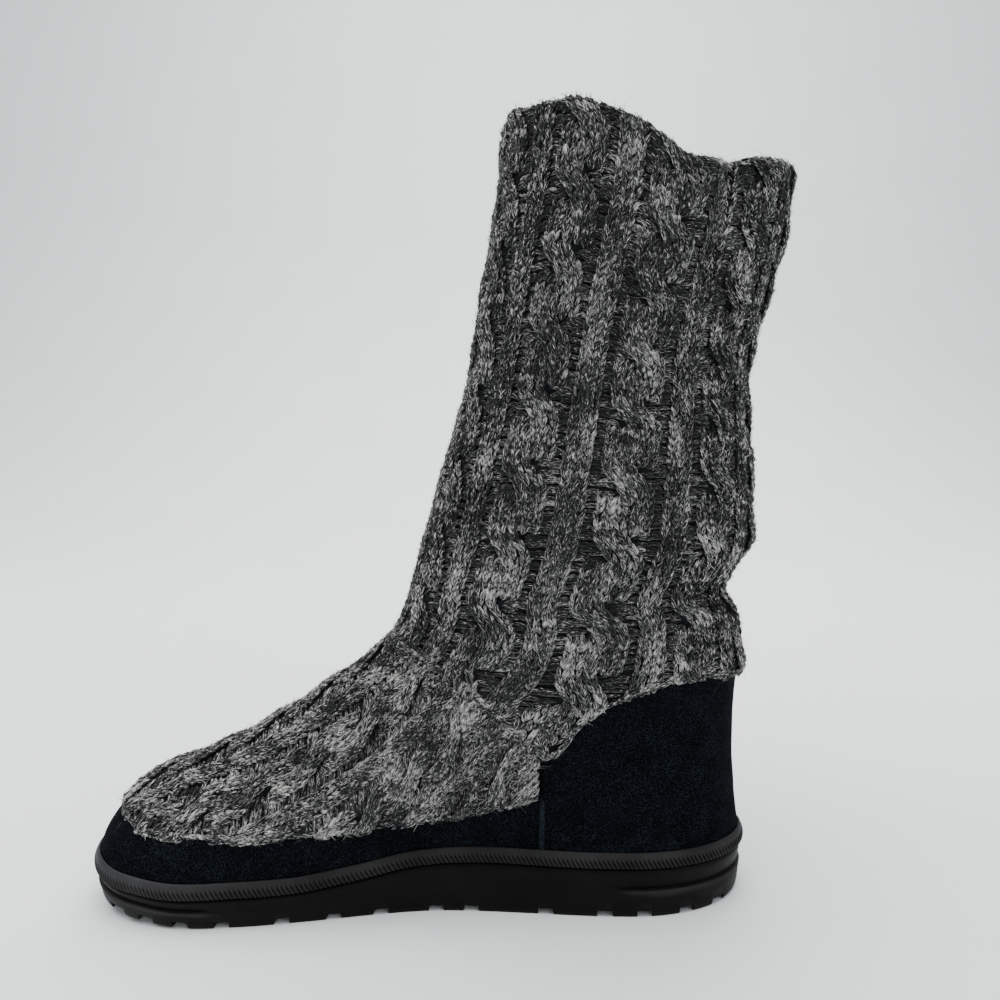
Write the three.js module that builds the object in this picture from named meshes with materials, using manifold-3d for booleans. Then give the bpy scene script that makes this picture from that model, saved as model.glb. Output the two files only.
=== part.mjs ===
// Knitted winter boot for the right foot: a cable-knit leg and vamp, a suede counter and foxing,
// and a moulded rubber sole with a ribbed welt. Millimetres, +Z up, toe towards -X, inner side of
// the foot towards -Y. The origin is on the floor, under the middle of the heel.
import * as THREE from "three";
import { mergeVertices } from "three/addons/utils/BufferGeometryUtils.js";
import Module from "manifold-3d";

const wasm = await Module();
wasm.setup();

// The last: its reach from the origin, its widths and its heights
const toeReach = 217;
const heelReach = 38;
const ballWidth = 80;
const heelWidth = 58;
const waistWidth = 53;
const instepHeight = 97;
const swing = 5.4;

// The leg: height of the collar above the floor, and the leg's own depth and width
const collarHeight = 302.5;
const legDepth = 114;
const legWidth = 96;

// The walls of the pieces, and the gap that two of them keep
const knitWall = 3.4;
const knitLoft = 2;
const suedeWall = 1.8;
const clearance = 0.3;

// The knit's raised pattern: cables and ribs side by side all round the leg
const patternRepeats = 10;
const cableRelief = 3;
const ribRelief = 2;
const cableTwist = 26;
const cableTurn = 12 / 360;
const cableHalf = 3 / 11;
const ribHalf = 1.5 / 11;
const cableSway = 0.06;

// The sole: height of the welt's top edge at the heel and at the ball, and the profile of its side
const heelRise = 25.2;
const ballRise = 17.5;
const weltHeight = 6.3;
const weltBulge = 1.8;
const featherTuck = 1.6;
const sideMargin = 0.7;
const sideDraft = 1.6;
const bumperStep = 0.9;
const bumperShare = 0.55;
const toeSpring = 6.5;
const heelBevel = 2.5;
const insoleThickness = 4;

// The tread: grooves cut right across the sole, with their places as shares of the sole's length
const grooveWidth = 5.6;
const grooveDepth = 2.6;
const grooveBend = 5;
const groovePlaces = [
  0.053, 0.11, 0.176, 0.235, 0.322, 0.433, 0.486, 0.569, 0.639, 0.714, 0.8, 0.859, 0.91, 0.955,
];

// How finely the surfaces are divided
const soleColumns = 64;
const knitColumns = 80;
const foxingRows = 4;
const vampRows = 7;
const gridStep = 0.01;

// Sections of the foot, from the feather edge up to the instep. height: share of instepHeight;
// front: of toeReach; back: of heelReach; rear: of heelWidth; mid: of waistWidth; fore: of
// ballWidth; roundBack, roundFront: how much of the section's length its ends take
const footSections = [
  { height: 0.1, front: 1.0, back: 0.98, rear: 1.0, mid: 1.0, fore: 0.97, roundBack: 0.18, roundFront: 0.19 },
  { height: 0.24, front: 0.99, back: 0.99, rear: 1.0, mid: 1.03, fore: 1.0, roundBack: 0.18, roundFront: 0.21 },
  { height: 0.33, front: 0.968, back: 0.965, rear: 1.0, mid: 1.08, fore: 0.99, roundBack: 0.19, roundFront: 0.26 },
  { height: 0.4, front: 0.933, back: 0.945, rear: 1.0, mid: 1.12, fore: 0.97, roundBack: 0.2, roundFront: 0.33 },
  { height: 0.46, front: 0.883, back: 0.935, rear: 1.0, mid: 1.15, fore: 0.94, roundBack: 0.2, roundFront: 0.41 },
  { height: 0.52, front: 0.808, back: 0.92, rear: 1.01, mid: 1.19, fore: 0.91, roundBack: 0.21, roundFront: 0.49 },
  { height: 0.59, front: 0.742, back: 0.91, rear: 1.02, mid: 1.22, fore: 0.89, roundBack: 0.22, roundFront: 0.55 },
  { height: 0.72, front: 0.644, back: 0.91, rear: 1.06, mid: 1.29, fore: 0.87, roundBack: 0.25, roundFront: 0.61 },
  { height: 0.85, front: 0.559, back: 0.925, rear: 1.12, mid: 1.38, fore: 0.86, roundBack: 0.3, roundFront: 0.63 },
  { height: 0.97, front: 0.484, back: 0.955, rear: 1.2, mid: 1.47, fore: 0.88, roundBack: 0.36, roundFront: 0.6 },
];

// Sections of the leg, from the ankle up to the collar. rise: share of the way from instepHeight to
// collarHeight; front, back: of legDepth; width: of legWidth; round: what its ends take
const legSections = [
  { rise: 0.07, front: 0.82, back: 0.3, width: 0.84, round: 0.54 },
  { rise: 0.12, front: 0.795, back: 0.265, width: 0.85, round: 0.53 },
  { rise: 0.17, front: 0.77, back: 0.3, width: 0.87, round: 0.52 },
  { rise: 0.23, front: 0.74, back: 0.342, width: 0.89, round: 0.5 },
  { rise: 0.34, front: 0.685, back: 0.334, width: 0.92, round: 0.5 },
  { rise: 0.52, front: 0.592, back: 0.312, width: 0.95, round: 0.5 },
  { rise: 0.7, front: 0.542, back: 0.385, width: 0.98, round: 0.5 },
  { rise: 0.81, front: 0.505, back: 0.433, width: 0.99, round: 0.5 },
  { rise: 0.93, front: 0.478, back: 0.45, width: 1.0, round: 0.5 },
  { rise: 1.1, front: 0.465, back: 0.455, width: 1.0, round: 0.5 },
];

// The last's middle line swings out at the ball and in at the toe, in shares of swing
const swingLine = [
  { at: 0.0, share: 0.0 },
  { at: 0.2, share: 0.0 },
  { at: 0.42, share: 0.6 },
  { at: 0.68, share: 1.0 },
  { at: 0.88, share: 0.1 },
  { at: 1.0, share: -1.1 },
];

// Top edge of the welt, from the heel (at 0) to the toe (at 1): share of the way from ballRise to heelRise
const weltLine = [
  { at: 0.0, share: 1.0 },
  { at: 0.25, share: 1.0 },
  { at: 0.4, share: 1.08 },
  { at: 0.5, share: 0.92 },
  { at: 0.6, share: 0.38 },
  { at: 0.7, share: 0.02 },
  { at: 0.84, share: 0.0 },
  { at: 0.93, share: 0.2 },
  { at: 1.0, share: 0.45 },
];

// Lower edge of the knitted leg: the ankle seam in front, the counter's top line behind it
const legLine = [
  { at: 0.0, share: 0.905 },
  { at: 0.1, share: 0.955 },
  { at: 0.175, share: 0.92 },
  { at: 0.235, share: 0.85 },
  { at: 0.275, share: 0.755 },
  { at: 0.31, share: 0.65 },
  { at: 0.35, share: 0.72 },
  { at: 0.42, share: 0.87 },
  { at: 0.47, share: 0.955 },
  { at: 0.56, share: 1.03 },
];

// Top edge of the suede foxing
const foxingLine = [
  { at: 0.3, share: 0.47 },
  { at: 0.38, share: 0.43 },
  { at: 0.5, share: 0.375 },
  { at: 0.63, share: 0.35 },
  { at: 0.75, share: 0.33 },
  { at: 0.9, share: 0.32 },
  { at: 1.0, share: 0.36 },
];
const counterFront = 0.317;

// The slack collar, all round the leg from the back over the inner side: share of collarHeight
const collarLine = [
  { at: 0.0, share: 0.937 },
  { at: 0.09, share: 0.93 },
  { at: 0.17, share: 0.91 },
  { at: 0.225, share: 0.908 },
  { at: 0.27, share: 0.945 },
  { at: 0.36, share: 0.985 },
  { at: 0.5, share: 1.0 },
  { at: 0.64, share: 0.985 },
  { at: 0.76, share: 0.945 },
  { at: 0.88, share: 0.93 },
  { at: 1.0, share: 0.937 },
];

// Smooth value of a table's column at t: a cubic through the rows that never overshoots them
function along(table, key, column, t) {
  const last = table.length - 1;
  if (t <= table[0][key]) return table[0][column];
  if (t >= table[last][key]) return table[last][column];
  let i = 0;
  while (t > table[i + 1][key]) i += 1;
  const slope = (k) => {
    if (k < 0 || k >= last) return 0;
    return (table[k + 1][column] - table[k][column]) / (table[k + 1][key] - table[k][key]);
  };
  const tangent = (k) => {
    const before = slope(k - 1);
    const after = slope(k);
    return before * after <= 0 ? 0 : (2 * before * after) / (before + after);
  };
  const span = table[i + 1][key] - table[i][key];
  const u = (t - table[i][key]) / span;
  const start = table[i][column] * (1 + 2 * u) * (1 - u) ** 2 + tangent(i) * span * u * (1 - u) ** 2;
  const end = table[i + 1][column] * u ** 2 * (3 - 2 * u) - tangent(i + 1) * span * u ** 2 * (1 - u);
  return start + end;
}

// Both tables of sections as one list, in millimetres
const sections = [
  ...footSections.map((row) => ({
    z: row.height * instepHeight,
    front: -row.front * toeReach,
    back: row.back * heelReach,
    rear: (row.rear * heelWidth) / 2,
    mid: (row.mid * waistWidth) / 2,
    fore: (row.fore * ballWidth) / 2,
    roundBack: row.roundBack,
    roundFront: row.roundFront,
  })),
  ...legSections.map((row) => ({
    z: instepHeight + row.rise * (collarHeight - instepHeight),
    front: -row.front * legDepth,
    back: row.back * legDepth,
    rear: (row.width * legWidth) / 2,
    mid: (row.width * legWidth) / 2,
    fore: (row.width * legWidth) / 2,
    roundBack: row.round,
    roundFront: row.round,
  })),
];

const footLength = toeReach + heelReach;
const smoothStep = (t) => {
  const u = Math.min(Math.max(t, 0), 1);
  return u * u * (3 - 2 * u);
};
const roundEnd = (share, length) => Math.sqrt(1 - Math.max(0, 1 - share / length) ** 2);
const lengthShare = (x) => (heelReach - x) / footLength;
const weltTop = (x) => ballRise + (heelRise - ballRise) * along(weltLine, "at", "share", lengthShare(x));
const soleTop = (x) => weltTop(x) - weltHeight;
const legEdge = (x) => instepHeight * along(legLine, "at", "share", lengthShare(x));
const foxingEdge = (x) => instepHeight * along(foxingLine, "at", "share", lengthShare(x));
const collarEdge = (turn) => collarHeight * along(collarLine, "at", "share", turn);

// Point of the last at a turn (0 at the back, 0.25 on the inner side, 0.5 in front) and a height
function lastPoint(turn, z) {
  const at = (column) => along(sections, "z", column, z);
  const angle = turn * 2 * Math.PI;
  const share = (1 - Math.cos(angle)) / 2;
  const x = at("back") + (at("front") - at("back")) * share;
  const girth = [
    { at: 0.15, half: at("rear") },
    { at: 0.44, half: at("mid") },
    { at: 0.76, half: at("fore") },
  ];
  const round = roundEnd(share, at("roundBack")) * roundEnd(1 - share, at("roundFront"));
  const low = 1 - smoothStep(z / instepHeight);
  const middle = swing * low * along(swingLine, "at", "share", lengthShare(x));
  const tuck = featherTuck * (1 - smoothStep((z - soleTop(x)) / (weltHeight + clearance)));
  const half = (along(girth, "at", "half", share) - tuck) * round;
  return new THREE.Vector3(x, middle - Math.sign(Math.sin(angle)) * half, z);
}

// The last's surface moved out along its normal
function skin(turn, z, out) {
  const here = lastPoint(turn, z);
  const around = lastPoint(turn + gridStep / 10, z).sub(lastPoint(turn - gridStep / 10, z));
  const up = lastPoint(turn, z + gridStep).sub(lastPoint(turn, z - gridStep));
  return here.addScaledVector(up.cross(around).normalize(), out);
}

// Point at exactly this height on the last's surface moved out by this much
function ringPoint(turn, z, out) {
  const drift = skin(turn, z, out).z - z;
  return skin(turn, z - drift, out).setZ(z);
}

// Height at which the surface line at this turn meets an edge that is drawn over x
function heightOn(edge, turn, low, high) {
  for (let i = 0; i < 30; i += 1) {
    const middle = (low + high) / 2;
    if (middle < edge(lastPoint(turn, middle).x)) low = middle;
    else high = middle;
  }
  return low;
}
const soleEdgeAt = (turn) => heightOn(soleTop, turn, 0, heelRise * 1.5);
const legEdgeAt = (turn) => heightOn(legEdge, turn, instepHeight * 0.5, instepHeight * 1.1);
const foxingEdgeAt = (turn) => heightOn(foxingEdge, turn, instepHeight * 0.2, instepHeight * 0.6);

// How far the cables and ribs stand out from the leg's wall. A cable leans to one side at one
// crossing and to the other side at the next.
function knitRelief(turn, crossing) {
  const sway = crossing % 2 ? cableSway : -cableSway;
  const place = (turn - cableTurn) * patternRepeats;
  const fromCable = Math.abs(place - Math.round(place) + sway);
  const fromRib = 0.5 - Math.abs(place - Math.round(place));
  const dome = (distance, half) => Math.sqrt(Math.max(0, 1 - (distance / half) ** 2));
  return cableRelief * dome(fromCable, cableHalf) + ribRelief * dome(fromRib, ribHalf);
}

// Closed mesh through loops of points. Ends that aren't joined are closed by a strip across.
function loft(loops, joined) {
  const points = loops.flat();
  const size = loops[0].length;
  const index = [];
  const bands = joined ? loops.length : loops.length - 1;
  for (let i = 0; i < bands; i += 1) {
    const low = i * size;
    const high = ((i + 1) % loops.length) * size;
    for (let j = 0; j < size; j += 1) {
      const next = (j + 1) % size;
      index.push(low + j, low + next, high + next, low + j, high + next, high + j);
    }
  }
  if (!joined) {
    const top = (loops.length - 1) * size;
    for (let j = 0; j < size / 2 - 1; j += 1) {
      const far = size - 1 - j;
      index.push(j, far, j + 1, j + 1, far, far - 1);
      index.push(top + j, top + j + 1, top + far, top + j + 1, top + far - 1, top + far);
    }
  }
  const volume = index.reduce((sum, vertex, k) => {
    if (k % 3) return sum;
    const [a, b, c] = [points[vertex], points[index[k + 1]], points[index[k + 2]]];
    return sum + a.dot(b.clone().cross(c));
  }, 0);
  if (volume < 0) index.reverse();
  const geometry = new THREE.BufferGeometry().setFromPoints(points);
  geometry.setIndex(index);
  return geometry;
}

const steps = (count) => Array.from({ length: count }, (_, i) => i / (count - 1));
const turnsRound = (count) => Array.from({ length: count }, (_, i) => (i + 0.5) / count);
const rowsOf = (rows, turns, point) => rows.map((row) => turns.map((turn) => point(turn, row)));
const mix = (a, b, t) => a + (b - a) * t;

function toManifold(geometry) {
  const bare = geometry.clone();
  bare.deleteAttribute("normal");
  bare.deleteAttribute("uv");
  const merged = mergeVertices(bare);
  return new wasm.Manifold(
    new wasm.Mesh({
      numProp: 3,
      vertProperties: merged.attributes.position.array,
      triVerts: new Uint32Array(merged.index.array),
    }),
  );
}

function toGeometry(solid) {
  const { vertProperties, triVerts } = solid.getMesh();
  const geometry = new THREE.BufferGeometry();
  geometry.setAttribute("position", new THREE.BufferAttribute(vertProperties, 3));
  geometry.setIndex(new THREE.BufferAttribute(triVerts, 1));
  return geometry;
}

const boot = new THREE.Group();

function addPiece(name, geometry, finish) {
  const shown = geometry.toNonIndexed();
  shown.computeVertexNormals();
  const piece = new THREE.Mesh(shown, new THREE.MeshStandardMaterial(finish));
  piece.name = name;
  boot.add(piece);
}

const knit = { color: "#6b6c6d", roughness: 0.95, metalness: 0 };
const suede = { color: "#11151a", roughness: 0.9, metalness: 0 };
const rubber = { color: "#2b2a2c", roughness: 0.6, metalness: 0 };
const felt = { color: "#3a3a3c", roughness: 0.95, metalness: 0 };

// Height on the foot at a level: 0 at the sole, 1 at the foxing's top edge, 2 at the leg's seam
function footHeight(turn, level) {
  const low = soleEdgeAt(turn) + clearance;
  const middle = foxingEdgeAt(turn);
  return level < 1 ? mix(low, middle, level) : mix(middle, legEdgeAt(turn), level - 1);
}
const footLevels = [
  ...steps(foxingRows).slice(0, -1),
  ...steps(vampRows).map((level) => level + 1),
];

// Point of the foot's surface moved out, and never lower than the foot's lower edge
function footPoint(turn, level, out) {
  const point = skin(turn, footHeight(turn, level), out);
  return point.setZ(Math.max(point.z, footHeight(turn, 0)));
}

// Turn on the inner side at which the foot's surface passes a share of its length at this level
function turnAt(share, level) {
  let [low, high] = [0.05, 0.45];
  for (let i = 0; i < 30; i += 1) {
    const middle = (low + high) / 2;
    if (lengthShare(lastPoint(middle, footHeight(middle, level)).x) < share) low = middle;
    else high = middle;
  }
  return low;
}

// Columns of the knit's grid at a level, all round: evenly spaced behind the upright seam of the
// counter and in front of it, with one column on the seam itself
const backColumns = Math.round(turnAt(counterFront, 2) * knitColumns);
const frontColumns = knitColumns / 2 - backColumns;
function columnsAt(level) {
  const seam = turnAt(counterFront, level);
  const inner = [
    ...steps(backColumns + 1).map((t) => t * seam),
    ...steps(frontColumns + 1).slice(1).map((t) => mix(seam, 0.5, t)),
  ];
  return [...inner, ...inner.slice(1, -1).reverse().map((turn) => 1 - turn)];
}
const footGrid = footLevels.map(columnsAt);
const legTurns = footGrid.at(-1);

// Knitted foot: one hollow wall, open at the ankle seam and underneath. Its knit is thicker where
// no suede lies over it.
function makeUpper() {
  const ringAt = (row, outAt) => footGrid[row].map((turn, column) => {
    return footPoint(turn, footLevels[row], outAt(column));
  });
  const outside = footLevels.map((level, row) => ringAt(row, (column) => {
    const pastSeam = Math.min(column, knitColumns - column) - backColumns;
    return knitLoft * smoothStep(pastSeam / 2) * smoothStep((level - 1) * vampRows);
  }));
  const inside = footLevels.map((level, row) => ringAt(row, () => -knitWall));
  return loft([...outside, ...inside.reverse()], true);
}

// Knitted leg: a hollow tube from the ankle seam to the slack collar, with its cables and ribs raised
function makeShaft() {
  const crossings = Math.round((collarHeight - instepHeight) / (cableTwist / 2));
  const pointAt = (turn, share, out) => {
    const low = legEdgeAt(turn) + clearance * 2;
    return skin(turn, mix(low, collarEdge(turn), share), out);
  };
  const courses = Array.from({ length: crossings + 1 }, (_, i) => i);
  const outside = rowsOf(courses, legTurns, (turn, course) => {
    const hem = course === 0 || course === crossings ? 0.3 : 1;
    return pointAt(turn, course / crossings, knitLoft + knitRelief(turn, course) * hem);
  });
  const inside = rowsOf(steps(7).reverse(), legTurns, (turn, share) => {
    return pointAt(turn, share, knitLoft - knitWall);
  });
  return loft([...outside, ...inside], true);
}

// Suede panel on the foot between two columns of the knit's grid, from the sole up through these
// levels. Its two upright edges are drawn in by half a gap.
function suedePanel(first, last, levels) {
  const halfGap = clearance / 2 / (2 * footLength + ballWidth);
  const columns = Array.from({ length: last - first + 1 }, (_, i) => first + i);
  const sectionAt = (column) => {
    const drawnIn = column === first ? halfGap : column === last ? -halfGap : 0;
    const face = (out) => levels.map((level, row) => {
      return footPoint(footGrid[row].at(column) + drawnIn, level, out);
    });
    return [...face(clearance), ...face(clearance + suedeWall).reverse()];
  };
  return loft(columns.map(sectionAt), false);
}

// Foxing: the band round the front of the foot, up to its own edge
function makeFoxing() {
  const levels = footLevels.filter((level) => level <= 1);
  return suedePanel(backColumns, knitColumns - backColumns, levels);
}

// Counter: the panel round the heel, up to the knitted leg's lower edge
function makeCounter() {
  const levels = footLevels.with(-1, 2 - clearance / (instepHeight - ballRise));
  return suedePanel(-backColumns, backColumns, levels);
}

// Ribbed welt: a ring round the foot, resting on the sole
function makeWelt() {
  const profile = [
    { up: 0, out: 0 },
    { up: 0, out: 0.55 },
    { up: 0.12, out: 0.9 },
    { up: 0.4, out: 1 },
    { up: 0.75, out: 0.75 },
    { up: 1, out: 0.2 },
    { up: 1, out: 0 },
    { up: 0.5, out: 0 },
  ];
  const suedeFace = clearance * 2 + suedeWall;
  const loops = turnsRound(soleColumns).map((turn) => {
    const low = soleEdgeAt(turn) + clearance;
    const rim = ringPoint(turn, low + weltHeight, suedeFace + weltBulge);
    return profile.map(({ up, out }) => {
      const z = low + up * weltHeight;
      return ringPoint(turn, z, suedeFace).lerp(rim, out).setZ(z);
    });
  });
  return loft(loops, true);
}

// Point of the sole's side, drawn in by this much under the welt's top edge
function sidePoint(turn, inward) {
  const edge = soleEdgeAt(turn);
  return ringPoint(turn, edge + weltHeight, clearance * 2 + suedeWall + sideMargin - inward).setZ(edge);
}

// Underside of the sole: flat from heel to ball, with toe spring in front and a bevel at the back
function underside(x) {
  const toeLift = toeSpring * Math.max(0, (lengthShare(x) - 0.76) / 0.26) ** 2;
  const heelLift = heelBevel * Math.max(0, (0.055 - lengthShare(x)) / 0.085) ** 2;
  return toeLift + heelLift;
}

// Moulded rubber sole: a lofted block with a stepped side, and grooves cut across its tread
function makeOutsole() {
  const turns = turnsRound(soleColumns);
  const columns = turns.map((turn) => {
    const edge = sidePoint(turn, 0);
    const ends = smoothStep((Math.abs(lengthShare(edge.x) - 0.5) - 0.22) / 0.1);
    const bottom = underside(edge.x);
    const ledge = mix(bottom, edge.z, bumperShare);
    return [
      edge,
      sidePoint(turn, bumperStep * ends).setZ(ledge + bumperStep),
      sidePoint(turn, 0).setZ(ledge),
      sidePoint(turn, sideDraft * 0.4).setZ(bottom + grooveDepth),
      sidePoint(turn, sideDraft).setZ(bottom),
    ];
  });
  const block = loft(columns[0].map((_, level) => columns.map((column) => column[level])), false);
  let sole = toManifold(block);
  for (const place of groovePlaces) {
    const x = heelReach - place * footLength;
    const lift = underside(x);
    const arms = [-1, 1].map((side) => {
      const reach = ballWidth;
      const arm = new THREE.BoxGeometry(grooveWidth, reach, grooveDepth * 2);
      arm.translate(0, (side * reach) / 2, 0);
      arm.rotateZ(-side * Math.atan(grooveBend / (ballWidth / 2)));
      return toManifold(arm.translate(x, 0, lift));
    });
    sole = sole.subtract(arms[0].add(arms[1]));
  }
  return toGeometry(sole);
}

// Felt insole, inside the foot's wall and on the sole
function makeInsole() {
  const turns = turnsRound(soleColumns);
  const layer = (share) => turns.map((turn) => {
    const height = soleEdgeAt(turn) + clearance + insoleThickness * share;
    return ringPoint(turn, height, -knitWall - clearance * 3);
  });
  return loft(steps(4).map(layer), false);
}

addPiece("outsole", makeOutsole(), rubber);
addPiece("welt", makeWelt(), rubber);
addPiece("insole", makeInsole(), felt);
addPiece("upper", makeUpper(), knit);
addPiece("shaft", makeShaft(), knit);
addPiece("foxing", makeFoxing(), suede);
addPiece("heel_counter", makeCounter(), suede);

export default boot;
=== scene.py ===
"""Looks of a knitted winter boot: cable-knit leg and vamp, suede counter and foxing, and a rubber sole
with a ribbed welt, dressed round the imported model. Lengths are in metres, +Z is up, the toe points
towards -X, and the inner side of the foot is towards -Y."""

import math

import bpy
import numpy as np
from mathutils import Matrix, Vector


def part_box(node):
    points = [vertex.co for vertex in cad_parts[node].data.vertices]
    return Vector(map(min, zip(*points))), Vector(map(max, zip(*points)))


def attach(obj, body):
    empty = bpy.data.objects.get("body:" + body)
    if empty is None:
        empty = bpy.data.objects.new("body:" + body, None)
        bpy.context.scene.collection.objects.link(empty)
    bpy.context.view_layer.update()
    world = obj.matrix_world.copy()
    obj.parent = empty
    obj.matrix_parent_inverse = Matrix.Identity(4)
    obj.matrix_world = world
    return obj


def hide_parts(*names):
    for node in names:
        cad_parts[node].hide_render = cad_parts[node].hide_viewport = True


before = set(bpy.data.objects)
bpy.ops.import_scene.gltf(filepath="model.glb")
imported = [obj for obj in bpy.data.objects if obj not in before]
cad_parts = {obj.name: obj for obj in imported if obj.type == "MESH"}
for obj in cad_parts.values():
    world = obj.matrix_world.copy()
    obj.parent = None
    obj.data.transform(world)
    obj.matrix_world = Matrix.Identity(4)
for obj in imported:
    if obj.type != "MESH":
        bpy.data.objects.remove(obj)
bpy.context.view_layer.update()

bl_info = {
    "name": "Knitted Winter Boot",
    "version": (1, 0, 0),
    "blender": (4, 5, 0),
    "location": "View3D > Sidebar > Boot",
    "description": "Dresses a packed winter boot in cable knit, suede and rubber",
    "category": "Object",
}

MM = 0.001
UP = np.array([0.0, 0.0, 1.0])

# Driving lengths of the last and the leg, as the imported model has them
TOE_REACH = 217 * MM
HEEL_REACH = 38 * MM
FOOT_LENGTH = TOE_REACH + HEEL_REACH
BALL_WIDTH = 80 * MM
HEEL_WIDTH = 58 * MM
WAIST_WIDTH = 53 * MM
INSTEP_HEIGHT = 97 * MM
SWING = 5.4 * MM
COLLAR_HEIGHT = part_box("shaft")[1].z
LEG_DEPTH = 114 * MM
LEG_WIDTH = 96 * MM

# Walls, and the gap that two pieces keep
KNIT_WALL = 3.4 * MM
KNIT_LOFT = 2 * MM
KNIT_CORE = KNIT_LOFT - KNIT_WALL / 2
SUEDE_WALL = 1.8 * MM
CLEARANCE = 0.3 * MM
SUEDE_FACE = CLEARANCE + SUEDE_WALL
WELT_FACE = CLEARANCE * 2 + SUEDE_WALL

# About the length round the foot, by which a gap becomes a share of a turn
FOOT_ROUND = 2 * FOOT_LENGTH + BALL_WIDTH

# Rows of the leg's knit above ROLL_START roll over the collar's edge, by a radian for each COLLAR_ROLL
COLLAR_ROLL = 3.2 * MM
ROLL_START = COLLAR_HEIGHT - COLLAR_ROLL

# The sole: its top edge under the welt, its side and its tread
HEEL_RISE = 25.2 * MM
BALL_RISE = 17.5 * MM
WELT_HEIGHT = 6.3 * MM
WELT_BULGE = 1.8 * MM
FEATHER_TUCK = 1.6 * MM
SIDE_MARGIN = 0.7 * MM
SIDE_DRAFT = 1.6 * MM
BUMPER_STEP = 0.9 * MM
BUMPER_SHARE = 0.55
TOE_SPRING = 6.5 * MM
HEEL_BEVEL = 2.5 * MM
INSOLE_THICKNESS = 4 * MM
INSOLE_CROWN = 0.6 * MM
GROOVE_WIDTH = 5.6 * MM
GROOVE_DEPTH = 2.6 * MM
GROOVE_BEND = 5 * MM
GROOVE_DRAFT = 0.15 * MM

# Places over the foot's length, in shares of it: where the tread starts to rise at the toe and at the
# back, over what stretch, and how far from the middle the stepped ends of the side begin
SPRING_START, SPRING_SPAN = 0.76, 0.26
BEVEL_START, BEVEL_SPAN = 0.055, 0.085
BUMPER_START, BUMPER_BLEND = 0.28, 0.04

# Where the grooves cross the sole's middle
GROOVE_PLACES = [
    0.053, 0.11, 0.176, 0.235, 0.322, 0.433, 0.486, 0.569, 0.639, 0.714, 0.8, 0.859, 0.91, 0.955,
]

# The knit's pattern: in each repeat a cable of six wales, a purl gutter, a rib of three, and a gutter.
# The leg's first cable lies at CABLE_TURN. A gutter's wale, and the purl wale that lies under a cable's
# edge, are so many stitches from the cable's middle, and have more bumps than a knit wale has rows.
REPEATS = 10
WALES_IN_REPEAT = 11
STITCH_TURN = 1 / (REPEATS * WALES_IN_REPEAT)
VAMP_STITCH = 3 * MM
CABLE_TURN = 12 / 360
GUTTER_WALE = 3.35
UNDER_WALE = 2.1
BUMPS_IN_ROW = 1.5

# A cable's strand and a rib are three wales wide, in stitches. A strand's wales spread where it lies in
# front or behind, its way from side to side is squeezed so that it crosses quickly, and the knit's back
# bulges under it this far from its middle.
HALF_STRAND = 1.5
CABLE_SHARE = 0.97
STRAND_SPREAD = 0.35
STRAND_SQUEEZE = 0.32
STRAND_BULGE = 1.3

# Where the counter laps over the foxing, in shares of the foot's length
COUNTER_FRONT = 0.317

# A strand's stitches end where it dips lower than this behind the other, in shares of its depth. Purl
# wales under a cable's edge show where its strand's middle lies nearer than this many stitches.
HIDDEN_DEPTH = -0.75
NARROW_CABLE = 1.35

# Heights over the knit's loft: a strand's middle and a rib's, and how far their outer wales lie lower.
# Purl gutters lie under the loft, and the knit's back lies under its stitches.
STRAND_RISE = 1.15 * MM
STRAND_DROP = 0.9 * MM
RIB_RISE = 0.95 * MM
RIB_DROP = 0.75 * MM
GUTTER_DEPTH = 0.3 * MM
BACK_DEPTH = 0.75 * MM

# Half the width and the thickness of the yarn in a knit stitch, a purl bump and a chain along an edge
KNIT_YARN = (0.82 * MM, 0.7 * MM)
PURL_YARN = (0.88 * MM, 0.6 * MM)
CHAIN_YARN = (0.9 * MM, 0.75 * MM)

# The yarn's light and dark lengths: how long their waves are across and up, in millimetres, how many
# waves there are of each size, how strong they are, and the seed of their directions
PATCH_SIZES = ((5, 2.4), (3, 1.4), (1.8, 0.9))
PATCH_WAVES = 5
PATCH_STRENGTH = 0.078
PATCH_SEED = 5

# Shades of the yarn from 0, dark, to 1, light: the mean of its lobes and how far they differ. Purl
# gutters are painted darker by so much, as painted shade in their hollows, and the leg is painted
# darker up to its collar by the last of these, as painted shade where less light falls.
LEG_TONE = (0.265, 0.13)
VAMP_TONE = (0.25, 0.13)
CHAIN_TONE = (0.27, 0.1)
HAIR_TONE = (-0.02, 0.33)
LEG_GUTTER_PAINTED_SHADE = 0.28
VAMP_GUTTER_PAINTED_SHADE = 0.08
LEG_COLLAR_PAINTED_SHADE = 0.2

# The leg's rows start under its hem, and end past the collar's edge, inside. A stitch is knitted where
# its middle lies less than this many rows below an edge.
FIRST_ROW = 62 * MM
ROLLED_IN = 5.5 * MM
EDGE_ROWS = 0.4

# Stitches along the knit's edges, two rows for each edge: distance off the edge, how far a lobe rises
# along its way, and height over the loft
COLLAR_CHAIN = [(-0.2 * MM, 1.6 * MM, 0.7 * MM), (2.4 * MM, -1.6 * MM, 0.7 * MM)]
HEM_CHAIN = [(0.7 * MM, 1.4 * MM, 0.3 * MM), (2.2 * MM, -1.4 * MM, 1.1 * MM)]
VAMP_CHAIN = [(0.5 * MM, 1.0 * MM, -0.3 * MM), (1.8 * MM, -1.0 * MM, 0.5 * MM)]

# Hairs that lie along the yarn, and hairs that stand off it: how steeply they rise, and their length
# and width to those of a mean hair
LYING_HAIR = (0.16, 1.0, 1.0)
STANDING_HAIR = (1.1, 0.65, 1.4)

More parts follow.
